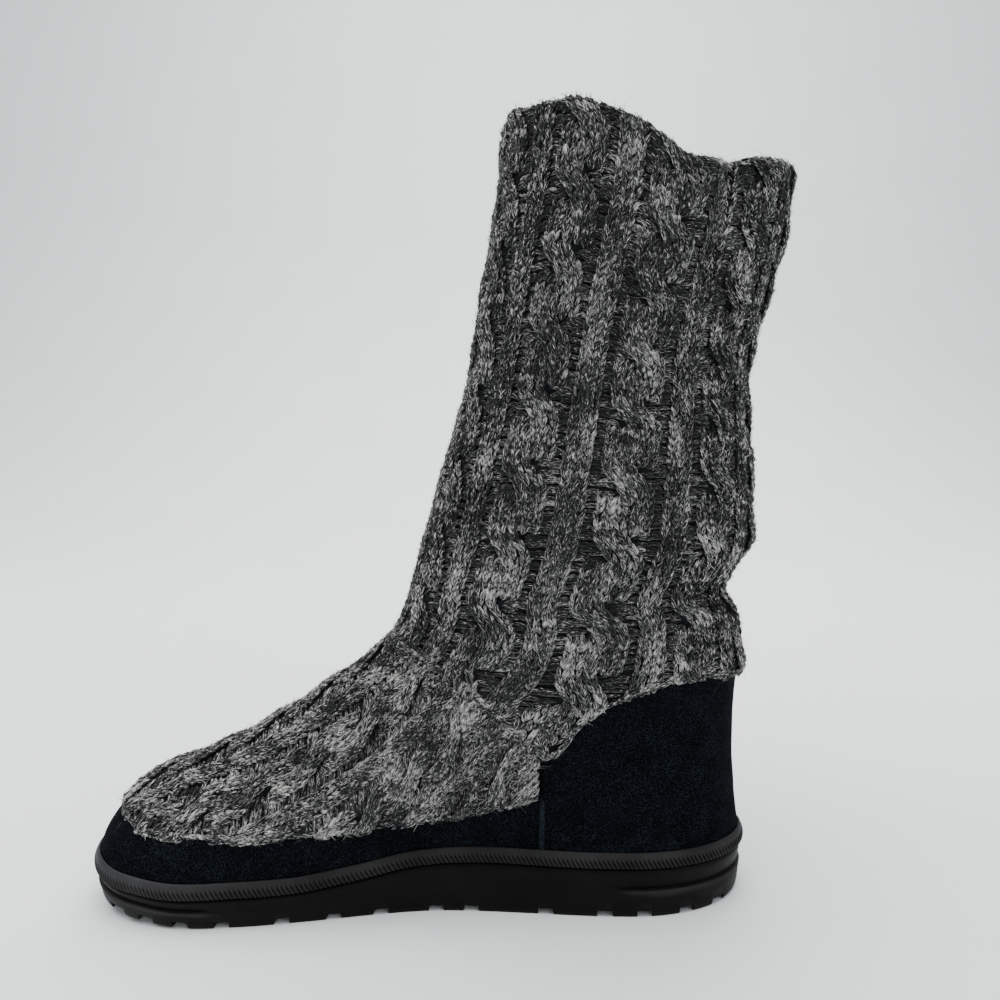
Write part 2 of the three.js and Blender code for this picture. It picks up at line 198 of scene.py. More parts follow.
# Sections of the foot from the feather edge to the instep, in shares of the lengths above: height of
# INSTEP_HEIGHT, front of TOE_REACH, back of HEEL_REACH, rear, mid and fore of the three widths.
# round_back and round_front say how much of the section's length its ends take.
FOOT_COLUMNS = ("height", "front", "back", "rear", "mid", "fore", "round_back", "round_front")
FOOT_SECTIONS = [
    (0.10, 1.000, 0.980, 1.00, 1.00, 0.97, 0.18, 0.19),
    (0.24, 0.990, 0.990, 1.00, 1.03, 1.00, 0.18, 0.21),
    (0.33, 0.968, 0.965, 1.00, 1.08, 0.99, 0.19, 0.26),
    (0.40, 0.933, 0.945, 1.00, 1.12, 0.97, 0.20, 0.33),
    (0.46, 0.883, 0.935, 1.00, 1.15, 0.94, 0.20, 0.41),
    (0.52, 0.808, 0.920, 1.01, 1.19, 0.91, 0.21, 0.49),
    (0.59, 0.742, 0.910, 1.02, 1.22, 0.89, 0.22, 0.55),
    (0.72, 0.644, 0.910, 1.06, 1.29, 0.87, 0.25, 0.61),
    (0.85, 0.559, 0.925, 1.12, 1.38, 0.86, 0.30, 0.63),
    (0.97, 0.484, 0.955, 1.20, 1.47, 0.88, 0.36, 0.60),
]

# Sections of the leg: rise from INSTEP_HEIGHT to the collar, front and back in shares of LEG_DEPTH,
# width of LEG_WIDTH, and how much of the section its ends take
LEG_COLUMNS = ("rise", "front", "back", "width", "round")
LEG_SECTIONS = [
    (0.07, 0.820, 0.300, 0.84, 0.54),
    (0.12, 0.795, 0.265, 0.85, 0.53),
    (0.17, 0.770, 0.300, 0.87, 0.52),
    (0.23, 0.740, 0.342, 0.89, 0.50),
    (0.34, 0.685, 0.334, 0.92, 0.50),
    (0.52, 0.592, 0.312, 0.95, 0.50),
    (0.70, 0.542, 0.385, 0.98, 0.50),
    (0.81, 0.505, 0.433, 0.99, 0.50),
    (0.93, 0.478, 0.450, 1.00, 0.50),
    (1.10, 0.465, 0.455, 1.00, 0.50),
]

# Lines drawn over the foot's length, from 0 at the heel to 1 at the toe: (place, share)
SWING_LINE = [(0, 0), (0.2, 0), (0.42, 0.6), (0.68, 1), (0.88, 0.1), (1, -1.1)]
WELT_LINE = [
    (0, 1), (0.25, 1), (0.4, 1.08), (0.5, 0.92), (0.6, 0.38), (0.7, 0.02), (0.84, 0), (0.93, 0.2), (1, 0.45),
]
LEG_LINE = [
    (0, 0.905), (0.1, 0.955), (0.175, 0.92), (0.235, 0.85), (0.275, 0.755), (0.31, 0.65), (0.35, 0.72),
    (0.42, 0.87), (0.47, 0.955), (0.56, 1.03),
]
FOXING_LINE = [(0.3, 0.47), (0.38, 0.43), (0.5, 0.375), (0.63, 0.35), (0.75, 0.33), (0.9, 0.32), (1, 0.36)]

# The slack collar's height round the leg, from the back over the inner side: (turn, share)
COLLAR_LINE = [
    (0, 0.937), (0.09, 0.93), (0.17, 0.91), (0.225, 0.908), (0.27, 0.945), (0.36, 0.985), (0.5, 1),
    (0.64, 0.985), (0.76, 0.945), (0.88, 0.93), (1, 0.937),
]

# Soft folds of the leg, troughs below 0 and ridges above: where round the leg at the fold's middle
# height, how far it leans in turns for each metre of height, the middle height, how far it reaches up
# and down, its half width in turns, and its depth
FOLD_COLUMNS = ("turn", "lean", "height", "reach", "half", "depth")
FOLDS = [
    (0.182, -0.10, 268 * MM, 34 * MM, 0.011, -3.4 * MM),
    (0.212, -0.10, 272 * MM, 30 * MM, 0.018, 2.0 * MM),
    (0.262, 0.10, 240 * MM, 36 * MM, 0.012, -2.2 * MM),
    (0.020, 0.00, 121 * MM, 12 * MM, 0.110, -1.6 * MM),
    (0.960, 0.00, 128 * MM, 12 * MM, 0.090, -1.2 * MM),
    (0.790, 0.10, 262 * MM, 36 * MM, 0.016, -2.4 * MM),
    (0.700, -0.15, 150 * MM, 26 * MM, 0.030, -1.4 * MM),
    (0.350, -0.30, 140 * MM, 22 * MM, 0.040, -1.2 * MM),
]


def smooth_step(t):
    """Runs from 0 to 1 as t does, flat at both ends."""
    u = np.clip(t, 0, 1)
    return u * u * (3 - 2 * u)


def along(places, values, t):
    """Value at t of a cubic through the rows (place, value). Its slope at a row is the harmonic mean of
    the slopes beside it, or 0 where they turn round, so it never overshoots. values may hold one list
    of numbers, or for each row an array shaped like t."""
    places = np.asarray(places, float)
    values = np.asarray(values, float)
    t = np.clip(np.asarray(t, float), places[0], places[-1])
    widths = np.diff(places).reshape((-1,) + (1,) * (values.ndim - 1))
    slopes = np.diff(values, axis=0) / widths
    before, after = slopes[:-1], slopes[1:]
    together = before + after
    mean = 2 * before * after / np.where(together == 0, 1, together)
    inner = np.where(before * after > 0, mean, 0)
    ends = np.zeros_like(values[:1])
    tangents = np.concatenate([ends, inner, ends])
    i = np.clip(np.searchsorted(places, t, side="right") - 1, 0, len(places) - 2)

    def row(table, k):
        return table[k] if table.ndim == 1 else np.take_along_axis(table, k[None], axis=0)[0]

    span = places[i + 1] - places[i]
    u = (t - places[i]) / span
    start = row(values, i) * (1 + 2 * u) * (1 - u) ** 2 + row(tangents, i) * span * u * (1 - u) ** 2
    end = row(values, i + 1) * u**2 * (3 - 2 * u) - row(tangents, i + 1) * span * u**2 * (1 - u)
    return start + end


def line_value(line, t):
    """Value at t of a line given as (place, share) pairs."""
    places, shares = zip(*line)
    return along(places, shares, t)


def all_sections():
    """Both tables of sections as one table of lengths in metres, a column for each name."""
    foot = {name: np.array(column) for name, column in zip(FOOT_COLUMNS, zip(*FOOT_SECTIONS))}
    leg = {name: np.array(column) for name, column in zip(LEG_COLUMNS, zip(*LEG_SECTIONS))}
    half_leg = leg["width"] * LEG_WIDTH / 2
    rise = COLLAR_HEIGHT - INSTEP_HEIGHT
    pairs = {
        "z": (foot["height"] * INSTEP_HEIGHT, INSTEP_HEIGHT + leg["rise"] * rise),
        "front": (-foot["front"] * TOE_REACH, -leg["front"] * LEG_DEPTH),
        "back": (foot["back"] * HEEL_REACH, leg["back"] * LEG_DEPTH),
        "rear": (foot["rear"] * HEEL_WIDTH / 2, half_leg),
        "mid": (foot["mid"] * WAIST_WIDTH / 2, half_leg),
        "fore": (foot["fore"] * BALL_WIDTH / 2, half_leg),
        "round_back": (foot["round_back"], leg["round"]),
        "round_front": (foot["round_front"], leg["round"]),
    }
    return {name: np.concatenate(pair) for name, pair in pairs.items()}


SECTIONS = all_sections()
GIRTH_PLACES = (0.15, 0.44, 0.76)
HALVINGS = 26


def section(column, z):
    """A column of the sections' table at height z."""
    return along(SECTIONS["z"], SECTIONS[column], z)


def length_share(x):
    """Place along the foot: 0 at the heel, 1 at the toe."""
    return (HEEL_REACH - x) / FOOT_LENGTH


def sole_top(x):
    """Height of the sole's top edge."""
    return BALL_RISE + (HEEL_RISE - BALL_RISE) * line_value(WELT_LINE, length_share(x)) - WELT_HEIGHT


def leg_edge(x):
    """Height of the knitted leg's lower edge."""
    return INSTEP_HEIGHT * line_value(LEG_LINE, length_share(x))


def foxing_edge(x):
    """Height of the foxing's top edge."""
    return INSTEP_HEIGHT * line_value(FOXING_LINE, length_share(x))


def round_end(share, length):
    """Quarter of an ellipse: 0 at share 0, and 1 from share = length on."""
    return np.sqrt(np.clip(1 - np.maximum(0, 1 - share / length) ** 2, 0, 1))


def half_width(share, z):
    """Half width of the last's section at a share of the section's own length, its ends rounded."""
    girths = np.stack([section(name, z) for name in ("rear", "mid", "fore")])
    x = section("back", z) + (section("front", z) - section("back", z)) * share
    tuck = FEATHER_TUCK * (1 - smooth_step((z - sole_top(x)) / (WELT_HEIGHT + CLEARANCE)))
    ends = round_end(share, section("round_back", z)) * round_end(1 - share, section("round_front", z))
    return (along(GIRTH_PLACES, girths, share) - tuck) * ends


def middle_line(x, z):
    """The last's middle line swings outwards at the ball and inwards at the toe, less with height."""
    low = 1 - smooth_step(z / INSTEP_HEIGHT)
    return SWING * low * line_value(SWING_LINE, length_share(x))


def last_point(turn, z):
    """Point of the last. Round a section of height z, x runs from back to front as a cosine of the
    turn (0 at the back, 0.25 on the inner side, 0.5 in front), and y is the middle line, less or plus
    the half width."""
    turn, z = np.broadcast_arrays(np.asarray(turn, float), np.asarray(z, float))
    angle = turn * 2 * math.pi
    share = (1 - np.cos(angle)) / 2
    x = section("back", z) + (section("front", z) - section("back", z)) * share
    y = middle_line(x, z) - np.sign(np.sin(angle)) * half_width(share, z)
    return np.stack([x, y, z], axis=-1)


def unit(vectors):
    """The vectors at length 1."""
    return vectors / np.maximum(np.linalg.norm(vectors, axis=-1, keepdims=True), 1e-12)


def last_normal(turn, z):
    """Outward normal of the last: the way up crossed with the way round."""
    around = last_point(turn + 0.001, z) - last_point(turn - 0.001, z)
    upward = last_point(turn, z + 0.1 * MM) - last_point(turn, z - 0.1 * MM)
    return unit(np.cross(upward, around))


def skin(turn, z, out):
    """The last's surface moved out along its normal."""
    turn, z, out = np.broadcast_arrays(np.asarray(turn, float), z, out)
    return last_point(turn, z) + last_normal(turn, z) * out[..., None]


def ring_point(turn, z, out):
    """Point at exactly this height on the last's surface moved out."""
    turn, z, out = np.broadcast_arrays(np.asarray(turn, float), z, out)
    drift = skin(turn, z, out)[..., 2] - z
    points = skin(turn, z - drift, out)
    points[..., 2] = z
    return points


def height_on(edge, turn, low, high):
    """Height at which the surface line at this turn meets an edge drawn over x, by halving."""
    turn = np.asarray(turn, float)
    low, high = np.full(turn.shape, low), np.full(turn.shape, high)
    for _ in range(HALVINGS):
        middle = (low + high) / 2
        under = middle < edge(last_point(turn, middle)[..., 0])
        low, high = np.where(under, middle, low), np.where(under, high, middle)
    return low


def sole_edge_at(turn):
    """Height of the sole's top edge at this turn."""
    return height_on(sole_top, turn, 0.0, HEEL_RISE * 1.5)


def leg_edge_at(turn):
    """Height of the knitted leg's lower edge at this turn."""
    return height_on(leg_edge, turn, INSTEP_HEIGHT * 0.5, INSTEP_HEIGHT * 1.1)


def foxing_edge_at(turn):
    """Height of the foxing's top edge at this turn."""
    return height_on(foxing_edge, turn, INSTEP_HEIGHT * 0.2, INSTEP_HEIGHT * 0.6)


def foot_point(turn, level, out):
    """Point of the foot's surface moved out, at a level: 0 at the sole, 1 at the foxing's top edge, 2 at
    the leg's seam. It never lies lower than the foot's lower edge."""
    turn, level, out = np.broadcast_arrays(np.asarray(turn, float), level, out)
    low = sole_edge_at(turn) + CLEARANCE
    middle = foxing_edge_at(turn)
    high = leg_edge_at(turn)
    z = np.where(level < 1, low + (middle - low) * level, middle + (high - middle) * (level - 1))
    points = skin(turn, z, out)
    points[..., 2] = np.maximum(points[..., 2], low)
    return points


def turn_at(share, level):
    """Turn on the inner side at which the foot's surface passes a share of its length, by halving."""
    low, high = np.full(np.shape(level), 0.05), np.full(np.shape(level), 0.45)
    for _ in range(HALVINGS):
        middle = (low + high) / 2
        behind = length_share(foot_point(middle, level, 0.0)[..., 0]) < share
        low, high = np.where(behind, middle, low), np.where(behind, high, middle)
    return low


def folds(turn, z):
    """How far the leg's soft folds move its surface out: for each fold a bell across it, times a bell
    along its height, times its depth."""
    moved = np.zeros(np.broadcast(turn, z).shape)
    for row in FOLDS:
        fold = dict(zip(FOLD_COLUMNS, row))
        centre = fold["turn"] + fold["lean"] * (z - fold["height"])
        across = (turn - centre + 0.5) % 1 - 0.5
        bell = np.exp(-((across / fold["half"]) ** 2) - ((z - fold["height"]) / fold["reach"]) ** 2)
        moved = moved + fold["depth"] * bell
    return moved


def slack_height(turn, height):
    """Real height of a row of the leg's knit: rows lie level below, and follow the slack collar above."""
    slack = 1 - line_value(COLLAR_LINE, turn % 1)
    return height * (1 - slack * smooth_step((height / COLLAR_HEIGHT - 0.4) / 0.6))


def leg_surface(turn, height, out):
    """Point and normal of the leg's knit at a row's level height. Above the rim's start the surface
    rolls over the collar's edge in a half circle, to the inside."""
    turn, height, out = np.broadcast_arrays(np.asarray(turn, float), height, out)
    over = np.clip((height - ROLL_START) / COLLAR_ROLL, 0, math.pi)
    z = slack_height(turn, np.minimum(height, ROLL_START))
    normal = last_normal(turn, z)
    middle = last_point(turn, z) + normal * (KNIT_CORE + folds(turn, z))[..., None]
    outward = normal * np.cos(over)[..., None] + UP * np.sin(over)[..., None]
    return middle + outward * (out - KNIT_CORE)[..., None], outward


def drawn_in(stand, above):
    """Height of the leg's knit over the loft, above its hem by this much: the hem draws its last 4 mm
    in and flattens them."""
    hem = smooth_step(above / (4 * MM))
    return stand * (0.7 + 0.3 * hem) - 0.2 * MM * (1 - hem)


def flattened(above):
    """Share of its height that the vamp's knit keeps, above its edge by this much: the seam under the
    foxing flattens its last 3 mm."""
    return 0.6 + 0.4 * smooth_step(above / (3 * MM))


def srgb(text):
    """Linear colour of an sRGB hex value."""
    parts = [int(text[i : i + 2], 16) / 255 for i in (1, 3, 5)]
    return [c / 12.92 if c <= 0.04045 else ((c + 0.055) / 1.055) ** 2.4 for c in parts] + [1.0]


def add_node(tree, kind, inputs=None, stops=None, **settings):
    """Adds a node with its settings. inputs gives for a socket either a value or a socket to link, and
    stops the places and colours of a colour ramp."""
    node = tree.nodes.new(kind)
    for name, value in settings.items():
        setattr(node, name, value)
    for name, value in (inputs or {}).items():
        if isinstance(value, bpy.types.NodeSocket):
            tree.links.new(value, node.inputs[name])
        else:
            node.inputs[name].default_value = value
    if stops:
        ramp = node.color_ramp.elements
        while len(ramp) < len(stops):
            ramp.new(1.0)
        for element, (place, colour) in zip(ramp, stops):
            element.position = place
            element.color = srgb(colour)
    return node


def new_material(name):
    """An empty node material, and its tree."""
    material = bpy.data.materials.new(name)
    material.use_nodes = True
    material.node_tree.nodes.clear()
    return material, material.node_tree


def close_material(tree, inputs):
    """Ends a material's tree with its surface, which takes these inputs, and the output."""
    surface = add_node(tree, "ShaderNodeBsdfPrincipled", inputs)
    add_node(tree, "ShaderNodeOutputMaterial", {"Surface": surface.outputs["BSDF"]})


def mesh_piece(name, points, faces, material, uv=None, shade=None):
    """Puts arrays into a mesh object that rides on the boot. points is (n, 3), faces a list of index
    arrays (k, corners), uv and shade one value for each point. Faces are turned over together where
    the signed volume says that they point inwards."""
    points = np.ascontiguousarray(points.reshape(-1, 3), dtype=np.float32)
    first = np.concatenate([f[:, :3] for f in faces])
    a, b, c = (points[first[:, i]].astype(float) for i in range(3))
    if np.einsum("ij,ij->", a, np.cross(b, c)) < 0:
        faces = [f[:, ::-1] for f in faces]
    loops = np.concatenate([f.ravel() for f in faces]).astype(np.int32)
    sizes = np.concatenate([np.full(len(f), f.shape[1]) for f in faces])
    starts = np.concatenate([[0], np.cumsum(sizes)[:-1]]).astype(np.int32)
    mesh = bpy.data.meshes.new(name)
    mesh.vertices.add(len(points))
    mesh.vertices.foreach_set("co", points.ravel())
    mesh.loops.add(len(loops))
    mesh.loops.foreach_set("vertex_index", loops)
    mesh.polygons.add(len(sizes))
    mesh.polygons.foreach_set("loop_start", starts)
    mesh.update(calc_edges=True)
    mesh.shade_smooth()
    if uv is not None:
        layer = mesh.uv_layers.new(name="Yarn")
        layer.data.foreach_set("uv", uv.reshape(-1, 2).astype(np.float32)[loops].ravel())
    if shade is not None:
        attribute = mesh.attributes.new("shade", "FLOAT", "POINT")
        attribute.data.foreach_set("value", shade.ravel().astype(np.float32))
    mesh.materials.append(material)
    piece = bpy.data.objects.new(name, mesh)
    bpy.context.scene.collection.objects.link(piece)
    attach(piece, "root")
    return piece


def grid_faces(rows, columns, round_rows=False, round_columns=False):
    """Four-cornered faces of a grid of points, joined round in either direction where asked."""
    i = np.arange(rows if round_rows else rows - 1)[:, None]
    j = np.arange(columns if round_columns else columns - 1)[None, :]
    below, right = (i + 1) % rows, (j + 1) % columns
    corners = [i * columns + j, i * columns + right, below * columns + right, below * columns + j]
    return np.stack(corners, axis=-1).reshape(-1, 4)


def closed_faces(loops, size):
    """Faces of loops of points joined one to the next. The first and the last loop are closed by faces
    that join each of their points to the one across from it."""
    j = np.arange(size // 2 - 1)
    strip = np.stack([j, size - 1 - j, size - 2 - j, j + 1], axis=-1)
    caps = np.concatenate([strip[:, ::-1], (loops - 1) * size + strip])
    return [grid_faces(loops, size, round_columns=True), caps]


LOBE_PLACES = np.array([0.0, 0.22, 0.5, 0.78, 1.0])
LOBE_GIRTH = np.array([0.8, 1.0, 0.8])
LOBE_RINGS = len(LOBE_GIRTH)
LOBE_SIDES = 4
LOBE_POINTS = LOBE_RINGS * LOBE_SIDES + 2


def lobe_mesh(centre, normal, half_wide, half_thick, random):
    """Closed lobes of yarn, one for each row of centre (n, 5, 3): a line of five points with a
    four-sided ring round each inner one, wider across the surface than off it, pointed at both ends.
    Returns points, faces, UV in millimetres along and round the yarn, and each lobe's direction."""
    count = len(centre)
    tangent = unit(np.gradient(centre, axis=1))
    side = unit(np.cross(tangent, normal))
    lift = np.cross(side, tangent)
    angle = np.arange(LOBE_SIDES) * math.pi / 2 + math.pi / 2
    wide = (LOBE_GIRTH * half_wide[:, None])[:, :, None, None]
    thick = (LOBE_GIRTH * half_thick[:, None])[:, :, None, None]
    rings = centre[:, 1:4, None] + np.cos(angle)[:, None] * side[:, 1:4, None] * wide
    rings = rings + np.sin(angle)[:, None] * lift[:, 1:4, None] * thick
    points = np.concatenate([centre[:, :1], rings.reshape(count, -1, 3), centre[:, 4:]], axis=1)
    start = np.arange(count)[:, None, None] * LOBE_POINTS
    walls = 1 + grid_faces(LOBE_RINGS, LOBE_SIDES, round_columns=True)
    corner = np.arange(LOBE_SIDES)
    beside = (corner + 1) % LOBE_SIDES
    tip = LOBE_POINTS - 1
    ring = tip - LOBE_SIDES
    first = np.stack([0 * corner, 1 + beside, 1 + corner], axis=-1)
    last = np.stack([0 * corner + tip, ring + corner, ring + beside], axis=-1)
    ends = np.concatenate([first, last])
    faces = [(start + walls).reshape(-1, 4), (start + ends).reshape(-1, 3)]
    length = np.linalg.norm(np.diff(centre, axis=1), axis=-1).sum(axis=1) / MM
    places = np.concatenate([[0], np.repeat(LOBE_PLACES[1:4], LOBE_SIDES), [1]])
    rounds = np.concatenate([[0], np.tile([0.0, 1.0, 2.0, -1.0], LOBE_RINGS), [0]])
    shift = random.uniform(0, 60, (count, 1, 2))
    u = places * length[:, None]
    v = rounds * half_wide[:, None] * 1.2 / MM
    uv = np.stack([u, v], axis=-1) + shift
    return points, faces, uv, tangent


def stitch_legs(surface, place, row_at, stitch, row, random, lean):
    """Lobes for one leg of each stitch: from low in the stitch's middle, up and out to its side, over
    a row and a half. place gives across and out for a height; lean is -1 or 1."""
    count = len(row_at)
    t = LOBE_PLACES[None, :]
    jitter = random.normal(0, 1, (4, count, 1))
    upward = row_at[:, None] + row * (-0.7 + 1.5 * t) + jitter[0] * row * 0.07
    across, out = place(upward)
    across = across + lean * stitch * (0.05 + 0.44 * t**0.9) + jitter[1] * stitch * 0.06
    out = out + 0.5 * MM * np.sin(math.pi * t) - 0.4 * MM * t + jitter[2] * 0.17 * MM
    centre, normal = surface(across, upward, out)
    size = 1 + 0.1 * jitter[3][:, 0]
    return centre, normal, KNIT_YARN[0] * size, KNIT_YARN[1] * size


def strand_place(upward, twist, phase=0.0):
    """Sideways place, in stitches, and depth of a cable's strand at a height: a cosine of its angle
    round the rope, squeezed so that the crossing is quick, and a sine. A twist is half a round."""
    theta = upward * math.pi / twist + phase
    cosine, sine = np.cos(theta), np.sin(theta)
    return -HALF_STRAND * cosine / np.sqrt(cosine**2 + STRAND_SQUEEZE * sine**2), sine


def strand_height(offset, depth):
    """Height of a strand's stitches over the knit's loft: a dome of its wales' offsets, on the rope's
    own depth."""
    return STRAND_RISE * (1 + depth) - STRAND_DROP * (offset / HALF_STRAND) ** 2


def rib_height(offset):
    """Height of a rib's stitches over the knit's loft: a dome of its wales' offsets."""
    return RIB_RISE - RIB_DROP * (offset / HALF_STRAND) ** 2


def knit_lobes(surface, columns, rows, stitch, row, twist, random, keep):
    """Every stitch of one kind over a surface. columns is a list of (place across, kind, wale's offset
    in stitches, strand); rows their heights. keep(across, upward) says which are there. A knit stitch
    is two lobes, made wider where the surface stretches its wale."""
    parts = []
    for place, kind, offset, phase in columns:
        def path(upward, place=place, kind=kind, offset=offset, phase=phase):
            if kind == "cable":
                side, depth = strand_place(upward, twist, phase)
                spread = 1 + STRAND_SPREAD * depth**2
                across = place + stitch * CABLE_SHARE * (side + offset * spread)
                return across, KNIT_LOFT + strand_height(offset, depth)
            if kind == "rib":
                return place + stitch * offset + 0 * upward, KNIT_LOFT + rib_height(offset) + 0 * upward
            return place + 0 * upward, KNIT_LOFT - GUTTER_DEPTH + 0 * upward

        heights = np.arange(rows[0], rows[-1], row / BUMPS_IN_ROW) if kind == "purl" else rows
        there = keep(path(heights)[0], heights)
        side, depth = strand_place(heights, twist, phase)
        if kind == "cable":
            there &= depth > HIDDEN_DEPTH
        if kind == "purl" and offset:
            there &= np.abs(side) < NARROW_CABLE
        here = heights[there]
        if kind == "purl":
            parts.append(purl_bumps(surface, path, here, stitch, row, random))
            continue
        across, out = path(here)
        beside, _ = surface(across + stitch, here, out)
        wale = np.linalg.norm(beside - surface(across, here, out)[0], axis=-1)
        stretch = np.clip(wale / row, 0.85, 1.7) ** 0.8
        for lean in (-1, 1):
            centre, normal, wide, thick = stitch_legs(surface, path, here, stitch, row, random, lean)
            parts.append((centre, normal, wide * stretch, thick))
    return [np.concatenate([part[i] for part in parts]) for i in range(4)]


def purl_bumps(surface, path, row_at, stitch, row, random):
    """Lobes lying across a purl wale, one for each row, bowed a little upwards and tilted by chance."""
    count = len(row_at)
    t = LOBE_PLACES[None, :]
    jitter = random.normal(0, 1, (5, count, 1))
    bow = 0.3 * np.sin(math.pi * t) + jitter[0] * 0.13 + jitter[3] * 0.2 * (t - 0.5)
    upward = row_at[:, None] + row * bow
    across, out = path(upward)
    across = across + stitch * ((t - 0.5) * 2 + jitter[4] * 0.2)
    out = out + 0.35 * MM * np.sin(math.pi * t) + jitter[1] * 0.12 * MM
    centre, normal = surface(across, upward, out)
    size = 1 + 0.12 * jitter[2][:, 0]
    return centre, normal, PURL_YARN[0] * size, PURL_YARN[1] * size


def wale_columns(first, last, unit_turn, start):
    """The pattern's columns for repeats first to last: (place, kind, offset, phase). A repeat is a
    cable about its middle, a gutter on each side, and a rib halfway to the next cable. Purl wales with
    offset 1 lie under the cable's edges, and show only where it narrows."""
    columns = {"cable": [], "rib": [], "purl": []}
    for repeat in range(first, last):
        middle = start + repeat * WALES_IN_REPEAT * unit_turn
        for strand in (0, 1):
            for offset in (-1, 0, 1):
                columns["cable"].append((middle, "cable", offset, strand * math.pi))
        for offset in (-1, 0, 1):
            columns["rib"].append((middle + WALES_IN_REPEAT / 2 * unit_turn, "rib", offset, 0))
        for offset, under in ((GUTTER_WALE, 0), (UNDER_WALE, 1)):
            for wale in (offset, WALES_IN_REPEAT - offset):
                columns["purl"].append((middle + wale * unit_turn, "purl", under, 0))
    return columns


def relief(across, upward, twist):
    """How far the knit's back stands out from the loft, just under its stitches. across is in stitches
    from a cable's middle. Over a cable it is the higher of its strands, and over a rib a dome."""
    x = (across + WALES_IN_REPEAT / 2) % WALES_IN_REPEAT - WALES_IN_REPEAT / 2
    rib = rib_height(WALES_IN_REPEAT / 2 - np.abs(x))
    total = np.maximum(rib, 0) - BACK_DEPTH + 0 * upward
    for phase in (0, math.pi):
        side, depth = strand_place(upward, twist, phase)
        offset = (x / CABLE_SHARE - side) / (1 + STRAND_SPREAD * depth**2)
        strand = np.maximum(total, strand_height(offset, depth) - BACK_DEPTH)
        total = np.where(np.abs(offset) < STRAND_BULGE, strand, total)
    return total


def vamp_map():
    """The knitted top of the foot as slices across it. A slice at x climbs from the foxing's edge to
    the foot's ridge or to the leg's seam, evenly by its own length. Returns the slices' points and
    normals for each side, their lengths, their places along the ridge, and the half girth up to the
    ridge, which runs on straight behind the place where the ridge enters the leg."""
    slices, steps_up = 260, 64
    heights = np.linspace(INSTEP_HEIGHT * 0.28, INSTEP_HEIGHT * 1.4, 500)
    front = section("front", heights)
    x = np.linspace(-TOE_REACH, HEEL_REACH - COUNTER_FRONT * FOOT_LENGTH, slices)
    ridge = np.interp(x, front, heights)
    clear = ridge > foxing_edge(x) + 0.8 * MM
    x, ridge = x[clear], ridge[clear]
    seam = leg_edge(x)
    top, low = np.minimum(ridge, seam), foxing_edge(x)
    t = np.linspace(0, 1, steps_up)[None, :]
    z = low[:, None] + (top - low)[:, None] * (1 - (1 - t) ** 2)
    flat_x = np.broadcast_to(x[:, None], z.shape)
    back = section("back", z)
    share = np.clip((back - flat_x) / (back - section("front", z)), 0, 1)
    half = half_width(share, z)
    sides = []
    for sign in (-1, 1):
        y = middle_line(flat_x, z) + sign * half
        points = np.stack([flat_x, y, z], axis=-1)
        steps = np.linalg.norm(np.diff(points, axis=1), axis=-1)
        length = np.concatenate([np.zeros((len(x), 1)), np.cumsum(steps, axis=1)], axis=1)
        even = [
            np.stack([np.interp(t[0] * full[-1], full, axis) for axis in slice_points.T], axis=-1)
            for full, slice_points in zip(length, points)
        ]
        points = np.array(even)
        normal = unit(np.cross(np.gradient(points, axis=0), np.gradient(points, axis=1))) * -sign
        sides.append((points, normal, length[:, -1]))
    lengthwise = np.gradient(ridge, x)
    on_ridge = ridge < seam
    shared = unit(sides[0][1][on_ridge, -1] + sides[1][1][on_ridge, -1])
    for _, normal, _ in sides:
        normal[on_ridge, -1] = shared
    end = np.flatnonzero(on_ridge)[-1]
    lengthwise[end:] = lengthwise[end]
    step = np.sqrt(1 + lengthwise**2) * np.gradient(x)
    along_ridge = np.cumsum(step) - step[0]
    girth = sides[0][2].copy()
    before = end - 12
    rise = (girth[end] - girth[before]) / (x[end] - x[before])
    girth[end:] = girth[end] + rise * (x[end:] - x[end])
    return sides, along_ridge, girth


VAMP_SIDES, VAMP_ALONG, VAMP_GIRTH = vamp_map()
VAMP_HALVES = list(zip(("inner", "outer"), (-1, 1), VAMP_SIDES))


def vamp_share(across, place):
    """A point's row among the vamp's slices, how far up its slice it lies (0 at the foxing, 1 at the
    ridge or the seam), and its length from the foxing."""
    row = np.interp(place, VAMP_ALONG, np.arange(len(VAMP_ALONG)))
    girth = np.interp(row, np.arange(len(VAMP_GIRTH)), VAMP_GIRTH)
    lengths = np.where(across < 0, *(
        np.interp(row, np.arange(len(side[2])), side[2]) for side in VAMP_SIDES
    ))
    above = girth - np.abs(across)
    return row, above / lengths, above


def vamp_surface(across, place, out):
    """Point and normal of the vamp's knit: across is the length over the foot from its ridge, below 0
    on the inner side, and place the length along the ridge from the toe."""
    across, place, out = np.broadcast_arrays(across, place, out)
    row, share, _ = vamp_share(across, place)
    column = np.clip(share, -0.004, 1.02) * (VAMP_SIDES[0][0].shape[1] - 1)
    i = np.clip(row.astype(int), 0, len(VAMP_ALONG) - 2)
    j = np.clip(column.astype(int), 0, VAMP_SIDES[0][0].shape[1] - 2)
    u, v = (row - i)[..., None], (column - j)[..., None]
    found = []
    for k in (0, 1):
        sides = []
        for side in VAMP_SIDES:
            table = side[k]
            first = table[i, j] * (1 - v) + table[i, j + 1] * v
            second = table[i + 1, j] * (1 - v) + table[i + 1, j + 1] * v
            sides.append(first * (1 - u) + second * u)
        found.append(np.where((across < 0)[..., None], sides[0], sides[1]))
    normal = unit(found[1])
    return found[0] + normal * out[..., None], normal


